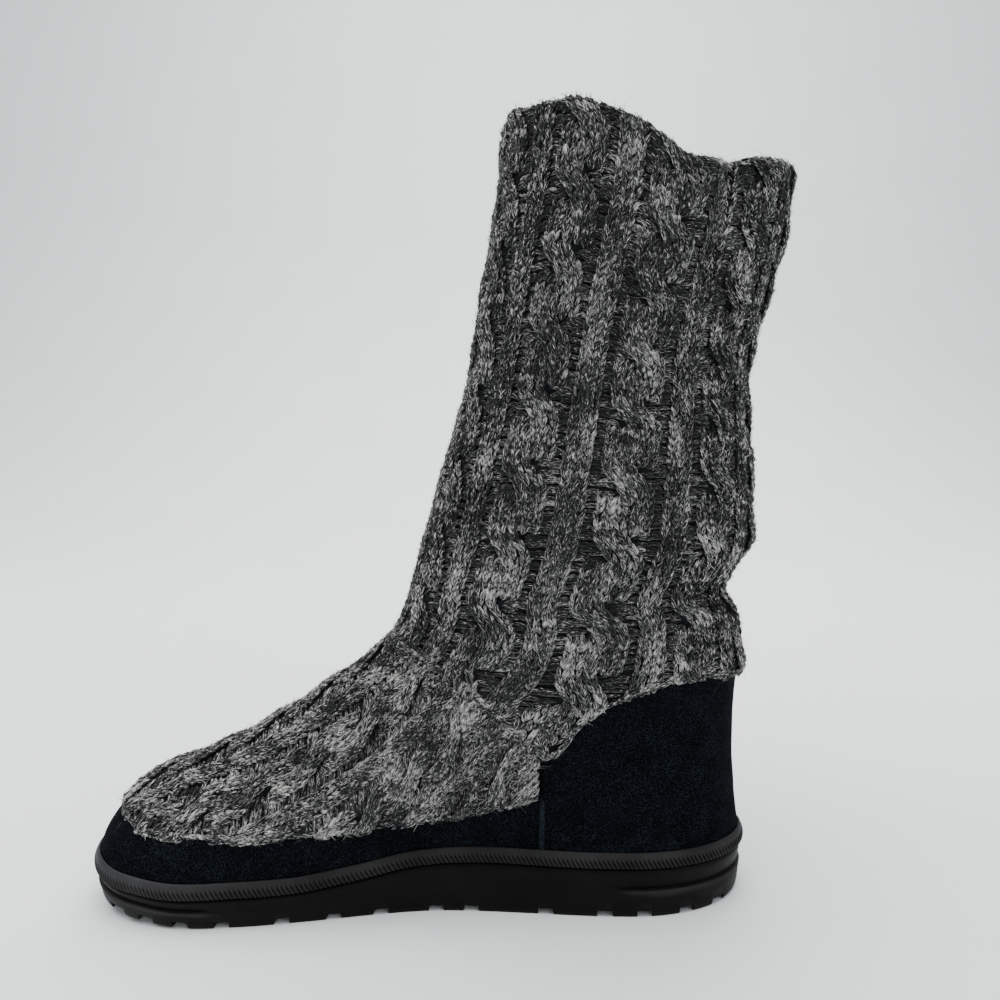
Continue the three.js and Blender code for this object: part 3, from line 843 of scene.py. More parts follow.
class BootKnitSettings(bpy.types.PropertyGroup):
    """Sizes and colours of the knit"""

    row_height: bpy.props.FloatProperty(
        name="Row height", description="Height of one row of stitches", default=3 * MM, unit="LENGTH"
    )
    twist: bpy.props.FloatProperty(
        name="Cable twist", description="Height from one crossing of a cable to the next",
        default=26 * MM, unit="LENGTH",
    )
    hairs: bpy.props.IntProperty(
        name="Loose hairs", description="How many brushed hairs stand off the knit", default=75000, min=0
    )
    hair_length: bpy.props.FloatProperty(
        name="Hair length", description="Mean length of a loose hair", default=2.6 * MM, unit="LENGTH"
    )
    dark: bpy.props.StringProperty(name="Dark fibre", description="sRGB hex", default="#060709")
    middle: bpy.props.StringProperty(name="Middle fibre", description="sRGB hex", default="#242527")
    light: bpy.props.StringProperty(name="Light fibre", description="sRGB hex", default="#B6B6B2")


class BootSuedeSettings(bpy.types.PropertyGroup):
    """Colours of the suede"""

    colour: bpy.props.StringProperty(name="Suede", description="sRGB hex", default="#040507")
    nap: bpy.props.StringProperty(name="Raised nap", description="sRGB hex", default="#20262C")


class BootRubberSettings(bpy.types.PropertyGroup):
    """Sizes and colours of the rubber"""

    rib_pitch: bpy.props.FloatProperty(
        name="Rib pitch", description="Distance between the welt's slanted ribs", default=1.7 * MM,
        unit="LENGTH",
    )
    rib_height: bpy.props.FloatProperty(
        name="Rib height", description="How far the welt's ribs stand out", default=1.2 * MM, unit="LENGTH"
    )
    colour: bpy.props.StringProperty(name="Rubber", description="sRGB hex", default="#060505")
    # The two lighter colours show handling and dust, and also painted light: reflection, highlights
    worn_and_painted_light: bpy.props.StringProperty(name="Rubbed rubber, with painted light", description="sRGB hex", default="#0E0D0D")
    dust_and_painted_light: bpy.props.StringProperty(name="Dusty rubber, with painted light", description="sRGB hex", default="#3C3C3D")


class BootStageSettings(bpy.types.PropertyGroup):
    """Colour and light of the studio"""

    floor: bpy.props.StringProperty(name="Floor", description="sRGB hex", default="#E9EBEC")
    paper: bpy.props.StringProperty(name="Lighter floor", description="sRGB hex", default="#F0F2F3")
    sky: bpy.props.StringProperty(name="Light all round", description="sRGB hex", default="#E9EDF0")
    sky_strength: bpy.props.FloatProperty(
        name="Strength all round", description="Strength of the light all round", default=0.8
    )
    key: bpy.props.FloatProperty(
        name="Key light", description="Power of the key light, in watts", default=34.0
    )
    fill: bpy.props.FloatProperty(
        name="Fill light", description="Power of the fill light, in watts", default=8.0
    )


def wool_material(settings, loose):
    """Brushed wool yarn, marled: spun from dark and light fibres, it shows short light and dark streaks
    along the yarn, and its raised fibres catch the light softly. The streaks are 0.35 mm wide and 2 mm
    long. A loose hair is of one fibre, so its colour goes by its own shade alone."""
    material, tree = new_material("Loose wool hair" if loose else "Brushed wool yarn")
    shade = add_node(tree, "ShaderNodeAttribute", attribute_name="shade")
    stops = [(0.0, settings.dark), (0.45, settings.middle), (1.0, settings.light)]
    if loose:
        colour = add_node(tree, "ShaderNodeValToRGB", {"Fac": shade.outputs["Fac"]}, stops=stops)
        close_material(tree, {
            "Base Color": colour.outputs["Color"], "Roughness": 0.85, "Specular IOR Level": 0.25,
        })
        return material
    yarn = add_node(tree, "ShaderNodeUVMap", uv_map="Yarn")
    twisted = add_node(
        tree, "ShaderNodeMapping",
        {"Vector": yarn.outputs["UV"], "Scale": (0.5, 2.8, 1), "Rotation": (0, 0, 0.12)},
    )
    fibres = add_node(
        tree, "ShaderNodeTexNoise",
        {"Vector": twisted.outputs["Vector"], "Scale": 1.0, "Detail": 3.0, "Roughness": 0.6},
    )
    mixed = add_node(
        tree, "ShaderNodeMath",
        {0: fibres.outputs["Fac"], 1: 7.6, 2: -3.8}, operation="MULTIPLY_ADD",
    )
    shaded = add_node(
        tree, "ShaderNodeMath", {0: mixed.outputs[0], 1: shade.outputs["Fac"]}, operation="ADD"
    )
    colour = add_node(tree, "ShaderNodeValToRGB", {"Fac": shaded.outputs[0]}, stops=stops)
    bump = add_node(
        tree, "ShaderNodeBump",
        {"Height": fibres.outputs["Fac"], "Strength": 0.5, "Distance": 0.4 * MM},
    )
    close_material(tree, {
        "Base Color": colour.outputs["Color"], "Normal": bump.outputs["Normal"], "Roughness": 0.92,
        "Specular IOR Level": 0.25, "Sheen Weight": 0.12, "Sheen Roughness": 0.5,
    })
    return material


def knit_back_material(settings):
    """The back of the wool knit, seen between stitches and inside: the same fibres, matt, in purl loops
    that lie across, 4 mm long and 1.5 mm high. Its dark fibres are the yarn's own; that it has no
    light ones is painted shade for the deep gaps between the stitches."""
    material, tree = new_material("Wool knit back")
    place = add_node(tree, "ShaderNodeTexCoord")
    flat = add_node(
        tree, "ShaderNodeMapping", {"Vector": place.outputs["Object"], "Scale": (1, 1, 2.7)}
    )
    loops = add_node(
        tree, "ShaderNodeTexNoise",
        {"Vector": flat.outputs["Vector"], "Scale": 250.0, "Detail": 4.0, "Roughness": 0.7},
    )
    # Only dark to middle fibres: painted shade for the gaps between the stitches
    colour = add_node(
        tree, "ShaderNodeValToRGB", {"Fac": loops.outputs["Fac"]},
        stops=[(0.4, settings.dark), (0.68, settings.middle)],
    )
    bump = add_node(
        tree, "ShaderNodeBump", {"Height": loops.outputs["Fac"], "Strength": 0.7, "Distance": 1.5 * MM}
    )
    close_material(tree, {
        "Base Color": colour.outputs["Color"], "Normal": bump.outputs["Normal"], "Roughness": 0.95,
        "Specular IOR Level": 0.2,
    })
    return material


def suede_material(settings):
    """Brushed suede: split hide with a raised nap of 0.5 mm. Its lighter drifts 8 mm across are painted
    sheen, where the nap would lean towards the light, and a piece's own shade paints a highlight, as on
    the counter's lip. It has no gloss."""
    material, tree = new_material("Brushed suede")
    place = add_node(tree, "ShaderNodeTexCoord")
    nap = add_node(
        tree, "ShaderNodeTexNoise",
        {"Vector": place.outputs["Object"], "Scale": 1800.0, "Detail": 4.0, "Roughness": 0.65},
    )
    # Painted sheen: lighter drifts where the nap would lean towards the light
    painted_sheen_drifts = add_node(
        tree, "ShaderNodeTexNoise",
        {"Vector": place.outputs["Object"], "Scale": 120.0, "Detail": 2.0, "Roughness": 0.5},
    )
    both = add_node(
        tree, "ShaderNodeMath", {0: painted_sheen_drifts.outputs["Fac"], 1: 0.12, 2: nap.outputs["Fac"]},
        operation="MULTIPLY_ADD",
    )
    # A piece's own shade: the painted highlight of the counter's lip
    own = add_node(tree, "ShaderNodeAttribute", attribute_name="shade")
    with_painted_highlight = add_node(tree, "ShaderNodeMath", {0: both.outputs[0], 1: own.outputs["Fac"]}, operation="ADD")
    colour = add_node(
        tree, "ShaderNodeValToRGB", {"Fac": with_painted_highlight.outputs[0]},
        stops=[(0.55, settings.colour), (0.76, settings.nap)],
    )
    bump = add_node(
        tree, "ShaderNodeBump", {"Height": nap.outputs["Fac"], "Strength": 0.45, "Distance": 0.5 * MM}
    )
    close_material(tree, {
        "Base Color": colour.outputs["Color"], "Normal": bump.outputs["Normal"], "Roughness": 0.95,
        "Specular IOR Level": 0.02,
    })
    return material


def rubber_material(settings):
    """Moulded rubber, matt: a fine moulded grain of 0.6 mm, faint lighter smudges 17 mm across where it
    has been handled, and a painted reflection that lightens it towards the toe. A piece's own shade
    paints light and shade on it: lighter on lit faces and edges, darker in grooves and under steps."""
    material, tree = new_material("Moulded rubber")
    place = add_node(tree, "ShaderNodeTexCoord")
    grain = add_node(
        tree, "ShaderNodeTexNoise", {"Vector": place.outputs["Object"], "Scale": 1500.0, "Detail": 2.0}
    )
    smudges = add_node(
        tree, "ShaderNodeTexNoise", {"Vector": place.outputs["Object"], "Scale": 60.0, "Detail": 4.0}
    )
    apart = add_node(tree, "ShaderNodeSeparateXYZ", {"Vector": place.outputs["Object"]})
    # Painted reflection: the rubber is painted lighter towards the toe
    toe = add_node(
        tree, "ShaderNodeMapRange",
        {"Value": apart.outputs["X"], "From Min": -0.12, "From Max": -0.22, "To Min": 0.0, "To Max": 0.22},
        interpolation_type="SMOOTHSTEP",
    )
    # Own shade: painted light and shade of the welt and the sole's side
    own = add_node(tree, "ShaderNodeAttribute", attribute_name="shade")
    painted_light_sum = add_node(tree, "ShaderNodeMath", {0: toe.outputs[0], 1: own.outputs["Fac"]}, operation="ADD")
    smudges_and_painted_light = add_node(
        tree, "ShaderNodeMath", {0: smudges.outputs["Fac"], 1: 0.4, 2: painted_light_sum.outputs[0]},
        operation="MULTIPLY_ADD",
    )
    colour = add_node(
        tree, "ShaderNodeValToRGB", {"Fac": smudges_and_painted_light.outputs[0]},
        stops=[(0.1, settings.colour), (0.35, settings.worn_and_painted_light), (1.0, settings.dust_and_painted_light)],
    )
    bump = add_node(
        tree, "ShaderNodeBump", {"Height": grain.outputs["Fac"], "Strength": 0.25, "Distance": 0.3 * MM}
    )
    close_material(tree, {
        "Base Color": colour.outputs["Color"], "Normal": bump.outputs["Normal"], "Roughness": 0.5,
        "Specular IOR Level": 0.07,
    })
    return material


def felt_material(settings):
    """Pressed wool felt: short matted fibres 0.8 mm across, matt."""
    material, tree = new_material("Pressed felt")
    place = add_node(tree, "ShaderNodeTexCoord")
    fibres = add_node(
        tree, "ShaderNodeTexNoise",
        {"Vector": place.outputs["Object"], "Scale": 1200.0, "Detail": 5.0, "Roughness": 0.7},
    )
    colour = add_node(
        tree, "ShaderNodeValToRGB", {"Fac": fibres.outputs["Fac"]},
        stops=[(0.3, settings.dark), (0.8, settings.middle)],
    )
    bump = add_node(
        tree, "ShaderNodeBump", {"Height": fibres.outputs["Fac"], "Strength": 0.6, "Distance": 0.6 * MM}
    )
    close_material(tree, {
        "Base Color": colour.outputs["Color"], "Normal": bump.outputs["Normal"], "Roughness": 0.97,
    })
    return material


def patches(points, random):
    """Shade of the yarn from place to place, as its light and dark lengths lie beside each other: sines
    of the place in random directions, their waves longer across than up."""
    total = np.zeros(len(points))
    for wide, high in PATCH_SIZES:
        for _ in range(PATCH_WAVES):
            direction = random.normal(0, 1, 3) / (np.array([wide, wide, high]) * MM)
            total += np.sin(points @ direction + random.uniform(0, 2 * math.pi))
    return total * PATCH_STRENGTH


# The middles of the stitches that are knitted so far, for the hairs: part, place, way, normal, shade
YARN = []


class BOOT_OT_walls(bpy.types.Operator):
    """Makes the knitted walls that lie behind the stitches and show inside"""

    bl_idname = "boot.walls"
    bl_label = "Knitted walls"

    def execute(self, context):
        settings = context.scene.boot_knit
        material = knit_back_material(settings)
        columns, outer_count, roll_count, inner_count = 275, 100, 7, 20
        turns = (np.arange(columns) / columns)[None, :]
        low = leg_edge_at(turns) + CLEARANCE * 2
        outer_rows = low + (ROLL_START - low) * np.linspace(0, 1, outer_count)[:, None]
        roll = ROLL_START + COLLAR_ROLL * np.linspace(0, math.pi, roll_count)[1:, None] + 0 * turns
        inner_rows = (low + (ROLL_START - low) * np.linspace(0, 1, inner_count)[:, None])[::-1][1:]
        across = (turns - CABLE_TURN) / STITCH_TURN
        outside = KNIT_LOFT + drawn_in(relief(across, outer_rows, settings.twist), outer_rows - low)
        fade = np.linspace(1, 0, roll_count)[1:, None] ** 2
        edge = KNIT_LOFT + (outside[-1] - KNIT_LOFT) * fade
        inside = np.full_like(inner_rows, KNIT_LOFT - KNIT_WALL)
        points, _ = leg_surface(
            turns, np.concatenate([outer_rows, roll, inner_rows]), np.concatenate([outside, edge, inside])
        )
        faces = [grid_faces(len(points), columns, True, True)]
        leg = mesh_piece("leg_wall", points, faces, material)
        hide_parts("shaft")

        columns, rows = 120, 40
        turns = (np.arange(columns) / columns)[None, :]
        levels = np.linspace(0, 2, rows)[:, None]
        outer = foot_point(turns, levels, 0.0)
        inner = foot_point(turns, levels[::-1], -KNIT_WALL)
        faces = [grid_faces(2 * rows, columns, True, True)]
        foot = mesh_piece("foot_wall", np.concatenate([outer, inner]), faces, material)
        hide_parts("upper")
        return {"FINISHED"}


def lengths_along(points):
    """Length along a line of points up to each of them."""
    return np.concatenate([[0], np.cumsum(np.linalg.norm(np.diff(points, axis=0), axis=-1))])


def yarn_piece(name, part, lobes, tone, random, darker=0.0):
    """Makes one mesh of lobes of yarn, and notes their middles for the hairs of its part. lobes is
    (centre, normal, half width, half thickness). A lobe's shade is its patch's and a number drawn by
    chance, of the tone's mean and spread, less darker: the painted shade that its part lays on it."""
    centre, normal, wide, thick = lobes
    points, faces, uv, tangent = lobe_mesh(centre, normal, wide, thick, random)
    middle = centre[:, 2]
    shade = patches(middle, np.random.default_rng(PATCH_SEED))
    shade = shade + random.normal(*tone, len(centre)) - darker
    material = bpy.data.materials["Brushed wool yarn"]
    mesh_piece(name, points, faces, material, uv, np.repeat(shade, LOBE_POINTS))
    YARN.append((part, middle, tangent[:, 2], normal[:, 2], shade))


def chain(name, part, surface, line, count, rows, random):
    """Casts off an edge: rows of stitches lie along it, a lobe and a half long each. line gives across
    and upward for a number of stitches along the edge and a distance off it."""
    t = LOBE_PLACES[None, :]
    steps = np.arange(count)[:, None] + 1.6 * t - 0.3
    centres, normals = [], []
    for above, rise, lift in rows:
        jitter = random.normal(0, 1, (2, count, 1)) * 0.15 * MM
        across, upward = line(steps, above + rise * (t - 0.5) + jitter[0])
        out = KNIT_LOFT + lift + 0.4 * MM * np.sin(math.pi * t) + jitter[1]
        centre, normal = surface(across, upward, out)
        centres.append(centre)
        normals.append(normal)
    centre, normal = np.concatenate(centres), np.concatenate(normals)
    wide, thick = (np.full(len(centre), half) for half in CHAIN_YARN)
    yarn_piece(name, part, (centre, normal, wide, thick), CHAIN_TONE, random)


class BOOT_OT_leg_stitches(bpy.types.Operator):
    """Knits the leg: cables, ribs and purl gutters, stitch by stitch, up and over the slack collar"""

    bl_idname = "boot.leg_stitches"
    bl_label = "Leg stitches"

    def execute(self, context):
        settings = context.scene.boot_knit
        wool_material(settings, loose=False)
        random = np.random.default_rng(11)
        row = settings.row_height
        rows = np.arange(FIRST_ROW, COLLAR_HEIGHT + ROLLED_IN, row)
        table = np.linspace(-0.5, 1.5, 801)
        edges = leg_edge_at(table % 1)

        def edge_at(turn):
            return np.interp(turn, table, edges)

        def keep(across, upward):
            return upward > edge_at(across) - EDGE_ROWS * row

        def surface(across, upward, out):
            edge = edge_at(across)
            upward = np.maximum(upward, edge - CLEARANCE)
            return leg_surface(across, upward, KNIT_LOFT + drawn_in(out - KNIT_LOFT, upward - edge))

        for name, first, last in (("inner", 0, 5), ("outer", 5, 10)):
            for kind, columns in wale_columns(first, last, STITCH_TURN, CABLE_TURN).items():
                lobes = knit_lobes(
                    surface, columns, rows, STITCH_TURN, row, settings.twist, random, keep
                )
                # Painted shade: the leg's yarn is painted darker towards its collar, and its purl gutters
                # darker still for the shade in their hollows
                darker = LEG_COLLAR_PAINTED_SHADE * lobes[0][:, 2, 2] / COLLAR_HEIGHT
                if kind == "purl":
                    darker = darker + LEG_GUTTER_PAINTED_SHADE
                yarn_piece(
                    f"leg_{kind}_stitches_{name}", f"leg_{name}", lobes, LEG_TONE, random, darker
                )

        def collar_line(steps, above):
            return steps * STITCH_TURN, COLLAR_HEIGHT + above + 0 * steps

        round_hem = np.linspace(-0.02, 1.02, 900)
        hem_length = lengths_along(last_point(round_hem, edge_at(round_hem)))

        def hem_line(steps, above):
            turn = np.interp(steps * row, hem_length, round_hem)
            return turn, edge_at(turn) + above

        chain(
            "collar_chain", "leg_outer", leg_surface, collar_line, round(1 / STITCH_TURN),
            COLLAR_CHAIN, random,
        )
        chain(
            "leg_hem_chain", "leg_inner", surface, hem_line, int(hem_length[-1] / row),
            HEM_CHAIN, random,
        )
        return {"FINISHED"}


def vamp_back(name, sign, side, twist):
    """The knit's back under one half of the vamp: every other slice's points moved out by the relief of
    the stitches over them, and joined at all edges to the same grid moved in."""
    points, normal, length = (table[::2] for table in side)
    share = np.linspace(0, 1, points.shape[1])[None, :]
    above = share * length[:, None]
    across = sign * (VAMP_GIRTH[::2, None] - above)
    stand = KNIT_LOFT + relief(across / VAMP_STITCH, VAMP_ALONG[::2, None], twist)
    outer = points + normal * (stand * flattened(above))[..., None]
    inner = points - normal * KNIT_WALL / 3
    loop = np.concatenate([outer, inner[:, ::-1]], axis=1)
    faces = closed_faces(*loop.shape[:2])
    mesh_piece(name, loop, faces, bpy.data.materials["Wool knit back"])


class BOOT_OT_vamp_stitches(bpy.types.Operator):
    """Knits the top of the foot, its wales running from the ankle's seam to the toe"""

    bl_idname = "boot.vamp_stitches"
    bl_label = "Vamp stitches"

    def execute(self, context):
        settings = context.scene.boot_knit
        random = np.random.default_rng(23)
        row = settings.row_height
        rows = np.arange(-2 * MM, VAMP_ALONG[-1] + 2 * MM, row)

        def keep(across, upward):
            _, share, above = vamp_share(across, upward)
            on_length = (upward > 0) & (upward < VAMP_ALONG[-1] - row)
            return (above > -EDGE_ROWS * row) & (share < 1.01) & on_length

        def surface(across, upward, out):
            _, _, above = vamp_share(across, upward)
            return vamp_surface(across, upward, out * flattened(above))

        for name, sign, side in VAMP_HALVES:
            vamp_back(f"vamp_back_{name}", sign, side, settings.twist)
        for name, sign, side in VAMP_HALVES:
            length = lengths_along(side[0][:, 0])

            def edge_line(steps, above, sign=sign, length=length):
                girth = np.interp(steps * VAMP_STITCH, length, VAMP_GIRTH)
                return sign * (girth - above), np.interp(steps * VAMP_STITCH, length, VAMP_ALONG)

            chain(
                f"vamp_edge_chain_{name}", "vamp", surface, edge_line, int(length[-1] / VAMP_STITCH),
                VAMP_CHAIN, random,
            )
        for kind, columns in wale_columns(-4, 5, VAMP_STITCH, 0).items():
            lobes = knit_lobes(surface, columns, rows, VAMP_STITCH, row, settings.twist, random, keep)
            # Painted shade: the vamp's purl gutters are painted a little darker for the shade in their
            # hollows
            darker = VAMP_GUTTER_PAINTED_SHADE if kind == "purl" else 0.0
            yarn_piece(f"vamp_{kind}_stitches", "vamp", lobes, VAMP_TONE, random, darker)
        return {"FINISHED"}


HAIR_FACES = (np.array([[0, 1, 2, 3]]), np.array([[3, 2, 4]]))
HAIR_POINTS = 5


def hair_points(root, tangent, normal, length, wide, random):
    """Loose hairs as tapered ribbons of two lengths: from its root each hair runs mostly along the yarn
    and a little off it, or for half of them, short and well off it. It bends aside with the square of
    the way, and its flat side is turned about it by chance."""
    count = len(root)
    side = unit(np.cross(tangent, normal))
    spread = random.normal(0, 1, (4, count, 1))
    way = random.choice([-1.0, 1.0], (count, 1), p=[0.25, 0.75])
    stands = random.random((count, 1)) < 0.5
    lift, longer, wider = (np.where(stands, *pair) for pair in zip(STANDING_HAIR, LYING_HAIR))
    length = length * longer
    wide = wide * wider
    off_yarn = normal * (lift + 0.25 * np.abs(spread[1]))
    direction = unit(tangent * way + side * 0.45 * spread[0] + off_yarn)
    bend = side * 0.5 * spread[2] - normal * 0.2 + tangent * 0.25 * spread[3]
    twist = random.uniform(-0.9, 0.9, (count, 1))
    flat = unit(np.cross(direction, normal))
    flat = flat * np.cos(twist) + np.cross(direction, flat) * np.sin(twist)
    middle = root + length * (0.5 * direction + 0.25 * bend)
    tip = root + length * (direction + bend)
    half = flat * wide / 2
    return np.stack([root - half, root + half, middle + half * 0.75, middle - half * 0.75, tip], axis=1)


class BOOT_OT_hairs(bpy.types.Operator):
    """Brushes loose hairs out of the stitches of the leg and the vamp"""

    bl_idname = "boot.hairs"
    bl_label = "Brushed hairs"

    def execute(self, context):
        settings = context.scene.boot_knit
        if not YARN:
            raise RuntimeError("Knit the leg and the vamp before their hairs")
        material = wool_material(settings, loose=True)
        total = sum(len(root) for _, root, *_ in YARN)
        groups = {}
        random = np.random.default_rng(37)
        for part, root, tangent, normal, shade in YARN:
            count = round(settings.hairs * len(root) / total)
            pick = random.integers(0, len(root), count)
            slide = random.uniform(-1.2, 1.2, (count, 1)) * MM
            place = root[pick] + tangent[pick] * slide + normal[pick] * 0.45 * MM
            length = settings.hair_length * random.gamma(5, 0.2, (count, 1))
            wide = random.uniform(0.1, 0.22, (count, 1)) * MM
            points = hair_points(place, tangent[pick], normal[pick], length, wide, random)
            # A hair takes its stitch's shade, the painted shade of the gutters and of the collar included
            tone = np.clip(shade[pick] + random.normal(*HAIR_TONE, count), 0, 1)
            groups.setdefault(part, []).append((points, np.repeat(tone, HAIR_POINTS)))
        for part, pieces in groups.items():
            points, tone = (np.concatenate(arrays) for arrays in zip(*pieces))
            start = np.arange(len(points))[:, None] * HAIR_POINTS
            faces = [start + corners for corners in HAIR_FACES]
            mesh_piece(f"{part}_hairs", points, faces, material, shade=tone)
        return {"FINISHED"}


def suede_sheet(name, first, last, top, columns, material, node):
    """A suede panel: for each column a loop up the outer face, over the folded top edge and down the
    inner face; the loops are joined round the foot and closed at both ends. first and last give the
    turns of its upright edges at a level."""
    rows, fold_steps = 26, 7
    outer_levels = np.linspace(0, top, rows)
    inner_levels = outer_levels[::-3]
    fold = np.linspace(0, math.pi, fold_steps)[1:-1]
    half = SUEDE_WALL / 2
    place = np.concatenate([outer_levels, np.full(len(fold), top), inner_levels])[None, :]
    out = np.concatenate([
        np.full(len(outer_levels), SUEDE_FACE), CLEARANCE + half + half * np.cos(fold),
        np.full(len(inner_levels), CLEARANCE),
    ])[None, :]
    lift = np.concatenate([0 * outer_levels, half * np.sin(fold), 0 * inner_levels])[None, :]
    across = np.linspace(0, 1, columns)[:, None]
    start, end = first(place), last(place)
    points = foot_point(start + (end - start) * across, place, out)
    points[..., 2] += lift
    piece = mesh_piece(name, points, closed_faces(columns, place.shape[1]), material)
    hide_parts(node)


LIP_RADIUS = 0.95 * MM
LIP_SUNK = 0.15 * MM


def counter_lip(name, side, material):
    """The counter's front edge stands up where it laps over the foxing: a rounded cord of suede from
    the welt to the foxing's top edge. side is 1 on the inner side and -1 on the outer."""
    rounds, corners, top = 40, 12, 1.02
    level = np.linspace(0, top, rounds)[:, None]
    angle = np.arange(corners)[None, :] / corners * 2 * math.pi
    radius = LIP_RADIUS * np.sqrt(np.clip(1 - (2 * level / top - 1) ** 20, 0.02, 1))
    middle = turn_at(COUNTER_FRONT, level) - CLEARANCE * 2 / FOOT_ROUND
    turn = side * (middle + radius * np.cos(angle) / FOOT_ROUND)
    points = foot_point(turn, level, SUEDE_FACE - LIP_SUNK + radius * np.sin(angle))
    # Painted highlight: the raised cord's suede is painted lighter than the panels
    with_painted_highlight = np.full((rounds, corners), 0.12)
    mesh_piece(name, points, closed_faces(rounds, corners), material, shade=with_painted_highlight)


class BOOT_OT_suede(bpy.types.Operator):
    """Cuts the suede foxing round the front and the counter round the heel"""

    bl_idname = "boot.suede"
    bl_label = "Suede panels"

    def execute(self, context):
        material = suede_material(context.scene.boot_suede)
        gap = CLEARANCE / 2 / FOOT_ROUND
        suede_sheet(
            "suede_foxing", lambda level: turn_at(COUNTER_FRONT, level) + gap,
            lambda level: 1 - turn_at(COUNTER_FRONT, level) - gap, 1.0, 190, material, "foxing",
        )
        for name, side in (("inner", 1), ("outer", -1)):
            counter_lip(f"counter_lip_{name}", side, material)
        suede_sheet(
            "suede_counter", lambda level: -turn_at(COUNTER_FRONT, level) + gap,
            lambda level: turn_at(COUNTER_FRONT, level) - gap, 2 - CLEARANCE / (INSTEP_HEIGHT - BALL_RISE),
            200, material, "heel_counter",
        )
        return {"FINISHED"}


# The welt's section, from its lower inner corner round its face: (share of its height, share of how far
# it stands out). The crest is the point that stands out furthest. The ribs lie in a band from RIBS_FROM
# to RIBS_TO of the height, start and end over RIBS_BLEND, and lean by RIB_SLANT of their pitches.
WELT_PROFILE = [
    (0, 0), (0, 0.3), (0.02, 0.62), (0.1, 0.86), (0.22, 0.97), (0.36, 1), (0.5, 0.98), (0.62, 0.91),
    (0.74, 0.8), (0.86, 0.6), (0.96, 0.34), (1, 0.12), (1, 0), (0.5, 0),
]
WELT_CREST = 5
RIBS_FROM = 0.02
RIBS_TO = 0.68
RIBS_BLEND = 0.12
RIB_SLANT = 2.2


class BOOT_OT_welt(bpy.types.Operator):
    """Moulds the welt: a band round the foot with a smooth shoulder over slanted ribs"""

    bl_idname = "boot.welt"
    bl_label = "Ribbed welt"

    def execute(self, context):
        settings = context.scene.boot_rubber
        material = rubber_material(settings)
        columns = 2200
        turn = (np.arange(columns) / columns)[:, None]
        up, out = (np.array(values)[None, :] for values in zip(*WELT_PROFILE))
        low = sole_edge_at(turn) + CLEARANCE
        z = low + up * WELT_HEIGHT
        inner = ring_point(turn, z, WELT_FACE)
        rim = ring_point(turn, low + WELT_HEIGHT, WELT_FACE + WELT_BULGE)
        points = inner + (rim - inner) * out[..., None]
        points[..., 2] = z
        crest = points[:, WELT_CREST]
        length = lengths_along(np.concatenate([crest, crest[:1]]))
        count = round(length[-1] / settings.rib_pitch)
        phase = (length[:-1] / length[-1] * count)[:, None] - up * RIB_SLANT
        rib = np.abs(np.sin(math.pi * phase)) ** 0.7 - 0.75
        on_face = out > 0.5
        band = smooth_step((up - RIBS_FROM) / RIBS_BLEND) * smooth_step((RIBS_TO - up) / RIBS_BLEND) * on_face
        outward = unit((rim - inner) * np.array([1.0, 1.0, 0.0]))
        points = points + outward * (rib * band * settings.rib_height)[..., None]
        # Painted light and shade: the smooth shoulder is painted lighter where light falls from above, a
        # rib's crest lighter as a painted highlight, and its grooves darker as painted shade
        shade = 0.06 + 0.28 * smooth_step((up - 0.5) / 0.2) + band * (rib * 0.7 + 0.14)
        faces = [grid_faces(columns, len(WELT_PROFILE), True, True)]
        piece = mesh_piece("welt_band", points, faces, material, shade=shade)
        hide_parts("welt")
        return {"FINISHED"}


def side_point(turn, inward):
    """Point of the sole's side, drawn in by this much under the welt's top edge."""
    edge = sole_edge_at(turn)
    points = ring_point(turn, edge + WELT_HEIGHT, WELT_FACE + SIDE_MARGIN - inward)
    points[..., 2] = edge + 0 * inward
    return points


def underside(x):
    """Height of the tread: flat from heel to ball, with toe spring and a bevel at the back."""
    share = length_share(x)
    toe = TOE_SPRING * np.maximum(0, (share - SPRING_START) / SPRING_SPAN) ** 2
    return toe + HEEL_BEVEL * np.maximum(0, (BEVEL_START - share) / BEVEL_SPAN) ** 2


